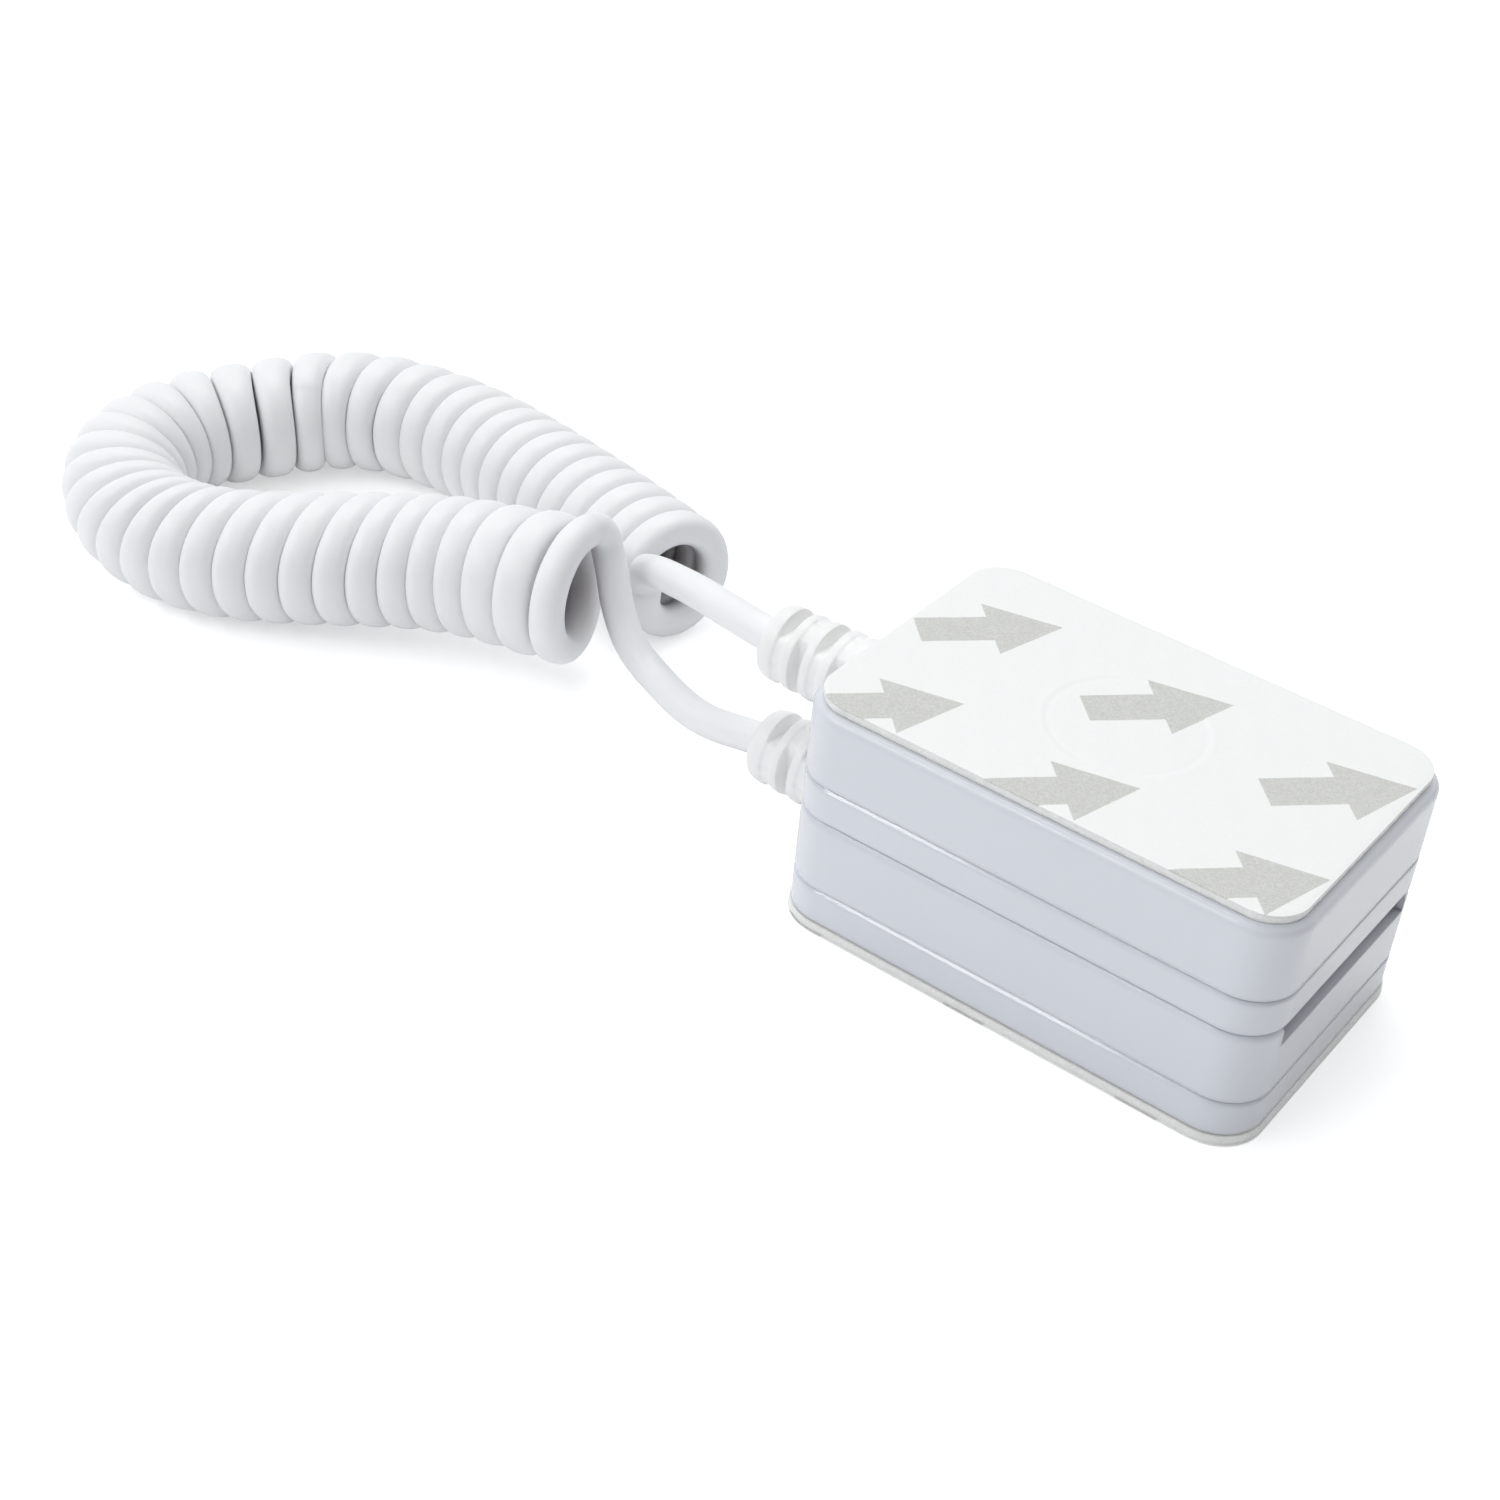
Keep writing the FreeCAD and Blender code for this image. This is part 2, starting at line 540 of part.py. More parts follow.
def cord_clamp(side, cord_z):
    """Grooved bar over the ferrule, held by two screws in counterbored holes."""
    bottom = cord_z + Dims.clamp_rise
    top = bottom + Dims.clamp_thick
    head_z = top - Dims.screw_head_thick - Dims.screw_head_sink
    start_x = Dims.clamp_x - Dims.clamp_length / 2
    bar = doc.addObject("Part::Box", side + "_clamp_bar")
    bar.setExpression("Length", str(Dims.clamp_length))
    bar.setExpression("Width", str(Dims.clamp_width))
    bar.setExpression("Height", str(Dims.clamp_thick))
    set_corner(bar, start_x, Dims.cord_y - Dims.clamp_width / 2, bottom)
    groove = rod(side + "_clamp_groove", Dims.ferrule_dia / 2 + Dims.ferrule_clear,
                 Dims.clamp_length + Dims.groove_overrun * 2,
                 start_x - Dims.groove_overrun, Dims.cord_y, cord_z)
    clamp = cut(side + "_clamp_a", bar, groove)

    screws = []
    for i, y in enumerate(SCREW_ROWS):
        def upright(name, radius, length, z):
            return rod("%s_%s%d" % (side, name, i), radius, length, Dims.clamp_x, y, z, True)

        hole = upright("clamp_hole", Dims.screw_dia / 2 + Dims.screw_clear,
                       Dims.clamp_thick + Dims.hole_extra, cord_z - Dims.hole_drop)
        clamp = cut("%s_clamp_b%d" % (side, i), clamp, hole)
        counterbore = upright("clamp_cbore", Dims.screw_head_dia / 2 + Dims.screw_clear,
                              Dims.counterbore_length, head_z)
        clamp = cut("%s_clamp_c%d" % (side, i), clamp, counterbore)
        shank = upright("screw_shank", Dims.screw_dia / 2,
                        Dims.clamp_thick + Dims.screw_extra, bottom - Dims.screw_drop)
        head = upright("screw_head", Dims.screw_head_dia / 2, Dims.screw_head_thick, head_z)
        screw = doc.addObject("Part::MultiFuse", "%s_screw%d" % (side, i))
        screw.Shapes = [shank, head]
        drive = upright("screw_drive", Dims.drive_dia / 2, Dims.drive_length,
                        top - Dims.drive_drop)
        screws.append(cut("%s_screw_cut%d" % (side, i), screw, drive))
    keep(clamp, side + "_cord_clamp")
    group = doc.addObject("Part::Compound", side + "_clamp_screws_group")
    group.Links = screws
    keep(group, side + "_clamp_screws")


for side, cord_z in (("lower", CORD_LOW), ("upper", CORD_UP)):
    crimp_ferrule(side, cord_z)
    cord_clamp(side, cord_z)
doc.recompute()

# ---------------------------------------------------------------- cord path
# Coil axis (x, y) seen from above, from the open front end round to the open rear end.
COIL_AXIS = [
    (-58.4, 3.75), (-61.51, 2.63), (-70.03, -0.07), (-77.73, -5.13), (-84.52, -10.91),
    (-92.91, -15.41), (-100.8, -14.9), (-108.0, -9.6), (-109.3, -1.72), (-105.8, 6.5),
    (-101.0, 14.1), (-93.12, 17.9), (-84.07, 18.4), (-75.0, 17.3), (-66.03, 15.65),
    (-57.17, 13.61), (-52.9, 12.5),
]
# (turns of the cord counted from the front, distance along the axis)
TURNS = [
    (-0.44, 0.0), (0.572, 3.58), (2.572, 10.32), (5.572, 18.74), (8.572, 27.96),
    (11.572, 36.93), (14.572, 45.23), (17.572, 54.51), (20.572, 63.55), (23.572, 75.27),
    (26.572, 87.35), (29.572, 98.31), (32.572, 107.53), (36.572, 119.27), (38.572, 125.4),
    (40.62, 131.7),
]
TURN_FIRST = -0.22
TURN_LAST = 40.60
TURN_PHASE = 26.0           # degrees
SAMPLES_PER_TURN = 16
# (distance along the axis, amount added to coil_radius)
RADIUS_ADD = [
    (0.0, 1.3), (3.0, 0.9), (6.0, 0.66), (14.0, 0.42), (24.0, 0.3), (36.0, 0.1),
    (48.0, -0.1), (60.0, -0.1), (75.0, 0.0), (95.0, 0.05), (133.0, 0.1),
]
# Lean of the turns along the axis: (distance, at the top, at the left-hand side)
LEAN = [
    (0.0, 0.4, 0.8), (8.0, 1.0, 0.2), (18.0, 0.75, 1.9), (30.0, 0.72, 2.26),
    (42.0, 0.15, 1.23), (52.0, -1.9, 0.97), (62.0, -0.92, -0.3), (72.0, -0.73, 0.0),
    (82.0, -0.72, 1.2), (92.0, -0.78, 0.59), (104.0, -0.76, 0.67), (118.0, -0.29, 0.21),
    (133.0, 0.0, 0.0),
]
# The front end of the coil is raised: (distance, lift)
RAISE = [(0.0, 4.0), (10.0, 2.67), (20.0, 1.52), (30.0, 0.6), (42.0, 0.0), (60.0, 0.0),
         (133.0, 0.0)]
RAISE_SHIFT = V(0.97, -1.18, 1)     # displacement for each unit of lift
# Tails (x, y, z): lower block to coil, and coil to upper block
FRONT_TAIL = [
    (-39.6, -2.4, 4.95), (-43.0, -1.8, 4.95), (-46.7, -0.6, 5.2), (-49.3, 0.0, 5.95),
    (-51.2, 0.4, 7.3), (-52.5, 0.85, 8.7), (-53.4, 1.2, 10.1), (-54.15, 1.6, 11.6),
    (-55.05, 2.1, 13.1), (-55.9, 2.35, 14.7), (-56.1, 1.7, 16.15),
]
REAR_TAIL = [
    (-55.2, 7.7, 9.3), (-54.0, 7.0, 10.3), (-52.3, 6.1, 11.2), (-49.4, 3.9, 13.0),
    (-45.0, 1.2, 15.1), (-39.9, -1.2, 16.7),
]
JACKET_IN_FERRULE = 1.5
# stations of the straight run, from the ferrule out through the boot
STRAIGHT_X = [float(Dims.ferrule_x) + JACKET_IN_FERRULE,
              -18.0, -20.5, -22.5, -24.5, -26.5, -28.5, -30.5, -32.4]
ROPE_REACH = [-14.6, -13.5, -12.4, -11.4]   # x stations of the bare rope past the jacket
TAIL_SPACING = 1.1          # between samples on the tails
TAIL_LEAD = range(0, 10, 3)     # coil samples, from its end, that a tail's curve runs through
AXIS_STEPS = 2000           # steps used to measure length along the coil axis

# Where neighbouring turns crowd, the section is squashed along the coil.
TURN_GAP = 0.08             # least gap between turns
SAME_TURN = 9               # samples nearer than this are on the same stretch of cord
NEIGHBOUR_REACH = 24        # samples searched either way for a neighbouring turn
TAIL_MARGIN = 12            # tail samples checked beyond each end of the coil
NO_NEIGHBOUR = 9.9          # distance used when nothing is nearer
LEAST_SQUASH = 0.42
SECTION_SIDES = 12          # points round each cross-section
BOOT_SPLIT_INSET = 1.0      # the cord is split this far inside the boot's tip


def interval(stations, value):
    """Index of the interval of the rising stations that holds the value."""
    low, high = 0, len(stations) - 1
    while high - low > 1:
        middle = (low + high) // 2
        if stations[middle] <= value:
            low = middle
        else:
            high = middle
    return low


def spline(stations, values):
    """Natural cubic spline; the function returned gives value and slope."""
    count = len(stations)
    step = [stations[i + 1] - stations[i] for i in range(count - 1)]
    rise = [(values[i + 1] - values[i]) / step[i] for i in range(count - 1)]
    # tridiagonal system for the second derivatives, zero at both ends
    below, diagonal = [0.0] * count, [1.0] * count
    above, right = [0.0] * count, [0.0] * count
    for i in range(1, count - 1):
        below[i], above[i] = step[i - 1], step[i]
        diagonal[i] = 2 * (step[i - 1] + step[i])
        right[i] = 6 * (rise[i] - rise[i - 1])
    for i in range(1, count):
        factor = below[i] / diagonal[i - 1]
        diagonal[i] -= factor * above[i - 1]
        right[i] -= factor * right[i - 1]
    bend = [0.0] * count
    bend[-1] = right[-1] / diagonal[-1]
    for i in range(count - 2, -1, -1):
        bend[i] = (right[i] - above[i] * bend[i + 1]) / diagonal[i]

    def evaluate(place):
        i = interval(stations, place)
        before = (stations[i + 1] - place) / step[i]
        after = (place - stations[i]) / step[i]
        value = (before * values[i] + after * values[i + 1]
                 + ((before ** 3 - before) * bend[i] + (after ** 3 - after) * bend[i + 1])
                 * step[i] ** 2 / 6)
        slope = rise[i] + ((3 * after ** 2 - 1) * bend[i + 1]
                           - (3 * before ** 2 - 1) * bend[i]) * step[i] / 6
        return value, slope
    return evaluate


def coil_axis():
    """Function from distance along the coil axis to its point and unit direction."""
    chord = [0.0]
    for start, end in zip(COIL_AXIS, COIL_AXIS[1:]):
        chord.append(chord[-1] + math.dist(end, start))
    x_at, y_at = [spline(chord, column) for column in zip(*COIL_AXIS)]
    lengths, places, last = [0.0], [0.0], COIL_AXIS[0]
    for i in range(1, AXIS_STEPS + 1):
        place = chord[-1] * i / AXIS_STEPS
        point = (x_at(place)[0], y_at(place)[0])
        lengths.append(lengths[-1] + math.dist(last, point))
        places.append(place)
        last = point

    def evaluate(distance):
        distance = min(max(distance, 0.0), lengths[-1])
        i = interval(lengths, distance)
        share = (distance - lengths[i]) / (lengths[i + 1] - lengths[i])
        place = places[i] + share * (places[i + 1] - places[i])
        x, slope_x = x_at(place)
        y, slope_y = y_at(place)
        return V(x, y, 0), V(slope_x, slope_y, 0).normalize()
    return evaluate


def coil_samples():
    """Samples of the wound cord: (point, direction out from the coil axis, distance)."""
    axis_at = coil_axis()
    distance_at = spline(*zip(*TURNS))
    radius_at = spline(*zip(*RADIUS_ADD))
    stations, lean_top, lean_side = zip(*LEAN)
    top_at = spline(stations, lean_top)
    side_at = spline(stations, lean_side)
    raise_at = spline(*zip(*RAISE))
    samples = []
    count = int(round((TURN_LAST - TURN_FIRST) * SAMPLES_PER_TURN))
    for i in range(count + 1):
        turn = TURN_FIRST + (TURN_LAST - TURN_FIRST) * i / count
        distance = distance_at(turn)[0]
        centre, forward = axis_at(distance)
        outside = float(Dims.coil_radius) + radius_at(distance)[0]
        angle = math.radians(TURN_PHASE) - 2 * math.pi * turn
        cosine, sine = math.cos(angle), math.sin(angle)
        outward = V(-cosine * forward.y, cosine * forward.x, sine)
        lean = top_at(distance)[0] * sine + side_at(distance)[0] * cosine
        lift = max(0.0, raise_at(distance)[0])
        point = (centre + V(0, 0, outside) + outward * (outside - float(Dims.cord_dia) / 2)
                 + forward * lean + RAISE_SHIFT * lift)
        samples.append((point, outward, distance))
    return samples


def resample(points, first, last):
    """Even samples, from point first to point last, of one curve through all the points."""
    chord = [0.0]
    for start, end in zip(points, points[1:]):
        chord.append(chord[-1] + (end - start).Length)
    curves = [spline(chord, [point[k] for point in points]) for k in range(3)]
    start, span = chord[first], chord[last] - chord[first]
    count = max(2, int(round(span / TAIL_SPACING)))
    return [V(*(curve(start + span * i / count)[0] for curve in curves))
            for i in range(count + 1)]


def cord_tails(coil):
    """Samples of the front and rear tails, each without its joint with the coil."""
    def straight(cord_z):
        return [V(x, float(Dims.cord_y), float(cord_z)) for x in STRAIGHT_X]

    front = straight(CORD_LOW) + [V(*point) for point in FRONT_TAIL]
    joint = len(front)
    front += [coil[i] for i in TAIL_LEAD]
    front_samples = resample(front, 0, joint)[:-1]
    rear = [coil[-1 - i] for i in reversed(TAIL_LEAD)]
    joint = len(rear) - 1
    rear += [V(*point) for point in REAR_TAIL] + straight(CORD_UP)[::-1]
    rear_samples = resample(rear, joint, len(rear) - 1)[1:]
    return front_samples, rear_samples


def squash_factors(points, coil_first, coil_last):
    """Share of the cord's diameter that fits between the turns, smoothed along it."""
    count = len(points)
    room = [1.0] * count
    for i in range(max(0, coil_first - TAIL_MARGIN), min(count, coil_last + TAIL_MARGIN + 1)):
        near = NO_NEIGHBOUR
        for j in range(max(0, i - NEIGHBOUR_REACH), min(count - 1, i + NEIGHBOUR_REACH)):
            if abs(j - i) >= SAME_TURN and abs(j + 1 - i) >= SAME_TURN:
                piece = points[j + 1] - points[j]
                gap = points[i] - points[j]
                share = min(1.0, max(0.0, gap.dot(piece) / piece.dot(piece)))
                near = min(near, (gap - piece * share).Length)
        room[i] = min(1.0, (near - TURN_GAP) / float(Dims.cord_dia))

    def around(values, i):
        return values[max(0, i - 1):i + 2]

    least = [min(around(room, i)) for i in range(count)]
    return [sum(around(least, i)) / len(around(least, i)) for i in range(count)]


def cord_rings(points, coil, coil_first):
    """Cross-sections (point, across, along, squash), lower housing to upper housing."""
    count = len(points)
    coil_last = coil_first + len(coil) - 1
    squash = squash_factors(points, coil_first, coil_last)
    tangents = [(points[min(i + 1, count - 1)] - points[max(i - 1, 0)]).normalize()
                for i in range(count)]
    rings = [None] * count

    def place(i, direction, factor):
        tangent = tangents[i]
        across = (direction - tangent * direction.dot(tangent)).normalize()
        rings[i] = (points[i], across, tangent.cross(across), factor)

    for i in range(coil_first, coil_last + 1):
        place(i, coil[i - coil_first][1], max(squash[i], LEAST_SQUASH))
    # on the tails the axes are carried on from ring to ring, away from the coil
    for i in range(coil_first - 1, -1, -1):
        place(i, rings[i + 1][1], squash[i])
    for i in range(coil_last + 1, count):
        place(i, rings[i - 1][1], squash[i])
    return rings


# ---------------------------------------------------------------- cord solids
def skin(rings, radius, squashed):
    """Closed tubular face through the cross-sections."""
    rows = []
    for point, across, along, squash in rings:
        row = []
        for j in range(SECTION_SIDES + 1):
            angle = 2 * math.pi * (j % SECTION_SIDES) / SECTION_SIDES
            depth = radius * (squash if squashed else 1.0)
            row.append(point + across * (radius * math.cos(angle))
                       + along * (depth * math.sin(angle)))
        rows.append(row)
    surface = Part.BSplineSurface()
    surface.interpolate(rows)
    surface.setVPeriodic()
    return surface.toShape()


def end_cap(faces, centre):
    """Flat face bounded by the closed end edges nearest the centre."""
    loops = []
    for face in faces:
        rims = [edge for edge in face.Edges if edge.Closed]
        rim = min(rims, key=lambda edge: edge.BoundBox.Center.distanceToPoint(centre))
        loops.append(Part.Wire([rim]))
    if len(loops) > 1:
        return Part.makeFace(loops, "Part::FaceMakerBullseye")
    return Part.Face(loops)


def cord_piece(label, rings, diameter, bore=None):
    """Solid skinned over the cross-sections; a bore, when given, stays round."""
    faces = [skin(rings, float(diameter) / 2, True)]
    if bore is not None:
        faces.append(skin(rings, float(bore) / 2, False))
    caps = [end_cap(faces, ring[0]) for ring in (rings[0], rings[-1])]
    shell = Part.makeShell(faces + caps)
    shell.sewShape()
    solid = Part.Solid(shell)
    if solid.Volume < 0:
        solid.reverse()
    piece = doc.addObject("Part::Feature", label)
    piece.Shape = solid
    keep(piece, label)


def rope_end(ring):
    """Cross-sections of the bare rope that runs on through the ferrule."""
    point, *rest = ring
    return [(V(x, point.y, point.z), *rest) for x in ROPE_REACH]


def build_cord():
    """Jacket and rope, each in six pieces split at the boots, coil ends and loop apex."""
    coil = coil_samples()
    coil_points = [sample[0] for sample in coil]
    front, rear = cord_tails(coil_points)
    first = len(front)
    last = first + len(coil) - 1
    rings = cord_rings(front + coil_points + rear, coil, first)

    apex = first + min(range(len(coil) - 1),
                       key=lambda i: abs(coil[i][2] - float(Dims.apex_distance)))
    split_x = float(Dims.boot_tip_x) + BOOT_SPLIT_INSET
    outside = [i for i, ring in enumerate(rings) if ring[0].x < split_x]
    splits = [0, outside[0], first, apex, last, outside[-1], len(rings) - 1]
    names = ["lower_end", "lower_tail", "front_coil", "rear_coil", "upper_tail", "upper_end"]
    for name, start, end in zip(names, splits, splits[1:]):
        piece = rings[start:end + 1]
        cord_piece("cord_jacket_" + name, piece, Dims.cord_dia, Dims.bore_dia)
        if name == "lower_end":
            piece = rope_end(piece[0])[::-1] + piece
        if name == "upper_end":
            piece = piece + rope_end(piece[-1])
        cord_piece("wire_rope_" + name, piece, Dims.rope_dia)


build_cord()
doc.recompute()

# ---------------------------------------------------------------- checks and files
for obj in doc.Objects:
    if "Invalid" in obj.State or "Error" in obj.State:
        raise RuntimeError("%s is %s" % (obj.Name, obj.State))
for label, obj in parts.items():
    shape = obj.Shape
    if shape.isNull() or not shape.isValid():
        raise RuntimeError(label + " has a bad shape")
    if not shape.Solids or any(solid.Volume <= 0 for solid in shape.Solids):
        raise RuntimeError(label + " has no solid")
for label, obj in parts.items():
    obj.Shape.exportStep("parts/%s.step" % label)
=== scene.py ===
"""Two rounded plastic blocks, docked one on the other and joined by a coiled cord.

The blocks are centred on the Z axis with their long side along X; the lower liner lies on
Z = 0. Each cord end leaves its block through a rubber boot in the -X face. The coil runs from
the open end nearer -Y (front), round a loop towards -X, back to the open end nearer +Y (rear).
Lengths are in millimetres up to the meshes, which are in metres; materials, floor, lights and
camera are in metres.
"""

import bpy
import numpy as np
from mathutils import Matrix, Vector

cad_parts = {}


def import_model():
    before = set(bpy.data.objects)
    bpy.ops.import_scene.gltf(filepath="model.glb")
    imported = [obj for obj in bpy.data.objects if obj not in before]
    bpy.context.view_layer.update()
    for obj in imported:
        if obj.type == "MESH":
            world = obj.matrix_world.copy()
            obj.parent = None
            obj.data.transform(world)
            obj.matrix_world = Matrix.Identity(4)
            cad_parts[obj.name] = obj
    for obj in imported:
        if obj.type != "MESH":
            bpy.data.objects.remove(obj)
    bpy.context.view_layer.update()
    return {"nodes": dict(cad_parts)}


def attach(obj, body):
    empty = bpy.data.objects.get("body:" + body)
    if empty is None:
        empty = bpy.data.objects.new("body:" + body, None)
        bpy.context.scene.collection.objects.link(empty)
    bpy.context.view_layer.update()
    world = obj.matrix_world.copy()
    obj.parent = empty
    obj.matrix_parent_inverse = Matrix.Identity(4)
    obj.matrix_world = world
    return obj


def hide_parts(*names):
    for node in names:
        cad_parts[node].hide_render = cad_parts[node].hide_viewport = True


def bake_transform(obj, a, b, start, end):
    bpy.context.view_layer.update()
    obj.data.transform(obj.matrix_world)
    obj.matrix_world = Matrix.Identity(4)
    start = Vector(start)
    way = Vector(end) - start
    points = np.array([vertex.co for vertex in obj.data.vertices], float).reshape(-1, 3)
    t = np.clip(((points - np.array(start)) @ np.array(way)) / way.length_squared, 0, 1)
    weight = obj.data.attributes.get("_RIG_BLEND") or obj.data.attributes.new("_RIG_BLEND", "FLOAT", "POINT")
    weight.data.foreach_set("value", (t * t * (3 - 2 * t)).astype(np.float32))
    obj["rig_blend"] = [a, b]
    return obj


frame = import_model()

import math
import bpy
import numpy as np
from mathutils import Matrix, Vector

MM = 0.001

# =============================================================== dimensions
# blocks
BLOCK_LENGTH, BLOCK_WIDTH, CORNER_RADIUS = 45.0, 29.4, 4.2
BASE_HEIGHT, SHELL_HEIGHT, WALL = 3.5, 7.0, 1.6
PAD_THICK, LINER_THICK = 0.78, 0.12
TOP_PAD_INSET, BOTTOM_PAD_PROUD = 0.75, 0.2
DIMPLE_RADIUS = 13.0 / 2

# cord and the boots on its ends
CORD_RADIUS, BORE_RADIUS, ROPE_RADIUS = 3.1 / 2, 1.25 / 2, 1.05 / 2
CORD_Y, CORD_RISE_LOWER, CORD_RISE_UPPER = -2.6, 5.2, 5.8
FERRULE_X = -17.2
BOOT_TIP_X = -32.8
BOOT_NECK_RADIUS, BOOT_BASE_RADIUS, BOOT_TIP_RADIUS = 5.2 / 2, 7.5 / 2, 6.8 / 2
BOOT_FLANGE_RADIUS, BOOT_FLANGE_THICK = 6.6 / 2, 1.2
BOOT_SLOT_WIDTH, BOOT_SLOT_DEPTH = 0.95, 1.25

# heights of the stack
Z_BASE_LOW = PAD_THICK + LINER_THICK
Z_DOCK = Z_BASE_LOW + BASE_HEIGHT + SHELL_HEIGHT
Z_TOP = Z_DOCK + BASE_HEIGHT + SHELL_HEIGHT
Z_CORD_LOWER = Z_BASE_LOW + CORD_RISE_LOWER
Z_CORD_UPPER = Z_DOCK + CORD_RISE_UPPER

# half length, half width and corner radius of the pad and liner on each block
BLOCK_OUTLINE = np.array([BLOCK_LENGTH / 2, BLOCK_WIDTH / 2, CORNER_RADIUS])
TOP_OUTLINE = BLOCK_OUTLINE - TOP_PAD_INSET
BOTTOM_OUTLINE = BLOCK_OUTLINE + BOTTOM_PAD_PROUD

# =============================================================== cord tables
COIL_RADIUS = 6.15
# x, y of the coil axis seen from above, front end first
COIL_AXIS = [
    (-58.4, 3.75), (-61.51, 2.63), (-70.03, -0.07), (-77.73, -5.13), (-84.52, -10.91),
    (-92.91, -15.41), (-100.8, -14.9), (-108.0, -9.6), (-109.3, -1.72), (-105.8, 6.5),
    (-101.0, 14.1), (-93.12, 17.9), (-84.07, 18.4), (-75.0, 17.3), (-66.03, 15.65),
    (-57.17, 13.61), (-52.9, 12.5)]
# turns of the cord counted from the front, distance along the axis
COIL_TURNS = [
    (-0.44, 0.0), (0.572, 3.58), (2.572, 10.32), (5.572, 18.74), (8.572, 27.96),
    (11.572, 36.93), (14.572, 45.23), (17.572, 54.51), (20.572, 63.55), (23.572, 75.27),
    (26.572, 87.35), (29.572, 98.31), (32.572, 107.53), (36.572, 119.27), (38.572, 125.4),
    (40.62, 131.7)]
FIRST_TURN, LAST_TURN = -0.22, 40.60
TURN_PHASE = 26.0                         # degrees
SAMPLES_PER_TURN = 16
# distance along the axis, addition to the coil's outside radius
RADIUS_ADD = [
    (0.0, 1.3), (3.0, 0.9), (6.0, 0.66), (14.0, 0.42), (24.0, 0.3), (36.0, 0.1),
    (48.0, -0.1), (60.0, -0.1), (75.0, 0.0), (95.0, 0.05), (133.0, 0.1)]
# distance along the axis, lean of the turns along it at the top of the coil, and at the side
# to the left of its direction of travel
LEAN = [
    (0.0, 0.4, 0.8), (8.0, 1.0, 0.2), (18.0, 0.75, 1.9), (30.0, 0.72, 2.26),
    (42.0, 0.15, 1.23), (52.0, -1.9, 0.97), (62.0, -0.92, -0.3), (72.0, -0.73, 0.0),
    (82.0, -0.72, 1.2), (92.0, -0.78, 0.59), (104.0, -0.76, 0.67), (118.0, -0.29, 0.21),
    (133.0, 0.0, 0.0)]
# distance along the axis, lift of the coil: its front end is held up by the tail
RAISE = [(0.0, 4.0), (10.0, 2.67), (20.0, 1.52), (30.0, 0.6), (42.0, 0.0), (60.0, 0.0),
         (133.0, 0.0)]
RAISE_SHIFT_X, RAISE_SHIFT_Y = 0.97, -1.18    # sideways shift for each millimetre of lift
# x, y, z of the free cord between the lower boot and the front of the coil
FRONT_TAIL = [
    (-39.6, -2.4, 4.95), (-43.0, -1.8, 4.95), (-46.7, -0.6, 5.2), (-49.3, 0.0, 5.95),
    (-51.2, 0.4, 7.3), (-52.5, 0.85, 8.7), (-53.4, 1.2, 10.1), (-54.15, 1.6, 11.6),
    (-55.05, 2.1, 13.1), (-55.9, 2.35, 14.7), (-56.1, 1.7, 16.15)]
# x, y, z of the free cord between the rear of the coil and the upper boot
REAR_TAIL = [
    (-55.2, 7.7, 9.3), (-54.0, 7.0, 10.3), (-52.3, 6.1, 11.2), (-49.4, 3.9, 13.0),
    (-45.0, 1.2, 15.1), (-39.9, -1.2, 16.7)]
# x of the straight cord inside block and boot, from the ferrule outwards
STRAIGHT_X = [FERRULE_X + 1.5, -18.0, -20.5, -22.5, -24.5, -26.5, -28.5, -30.5, -32.4]
TAIL_STEP = 1.1
FINE = 3                                  # fine samples for each coarse one


# =============================================================== small helpers
def smoothstep(t):
    t = np.clip(t, 0.0, 1.0)
    return t * t * (3 - 2 * t)


def unit(v):
    return v / np.maximum(np.linalg.norm(v, axis=-1, keepdims=True), 1e-12)


def square_to(v, axis):
    """Unit direction of v once its part along axis is taken out."""
    return unit(v - (v * axis).sum(-1, keepdims=True) * axis)


def run_length(points):
    """Distance of each point along the polyline."""
    return np.r_[0.0, np.cumsum(np.linalg.norm(np.diff(points, axis=0), axis=1))]


def spline(knots, values):
    """Natural cubic spline; the returned function gives value and slope at an array of t."""
    knots, values = np.asarray(knots, float), np.asarray(values, float)
    n, step = len(knots), np.diff(knots)
    bend = np.zeros_like(values)
    ratio = np.zeros(n)
    load = np.zeros_like(values)
    for i in range(1, n - 1):
        jump = ((values[i + 1] - values[i]) / step[i]
                - (values[i] - values[i - 1]) / step[i - 1])
        pivot = 2 * (step[i - 1] + step[i]) - step[i - 1] * ratio[i - 1]
        ratio[i] = step[i] / pivot
        load[i] = (6 * jump - step[i - 1] * load[i - 1]) / pivot
    for i in range(n - 2, 0, -1):
        bend[i] = load[i] - ratio[i] * bend[i + 1]

    def evaluate(t):
        i = np.clip(np.searchsorted(knots, t, side="right") - 1, 0, n - 2)
        column = (-1,) + (1,) * (values.ndim - 1)
        h = step[i].reshape(column)
        after = (t - knots[i]).reshape(column) / h
        before = 1 - after
        value = (before * values[i] + after * values[i + 1]
                 + ((before ** 3 - before) * bend[i]
                    + (after ** 3 - after) * bend[i + 1]) * h * h / 6)
        slope = ((values[i + 1] - values[i]) / h
                 + ((3 * after * after - 1) * bend[i + 1]
                    - (3 * before * before - 1) * bend[i]) * h / 6)
        return value, slope
    return evaluate


def grid_quads(rows, columns, closed=False):
    """Quads over rings of points; closed also joins the last ring to the first."""
    i, j = np.meshgrid(np.arange(rows if closed else rows - 1), np.arange(columns),
                       indexing="ij")
    here, there = i * columns, (i + 1) % rows * columns
    beside = (j + 1) % columns
    return np.stack([here + j, here + beside, there + beside, there + j], -1).reshape(-1, 4)


def facing(verts, a, b, c):
    """Normal, not of unit length, of the triangle a, b, c."""
    return np.cross(verts[b] - verts[a], verts[c] - verts[a])


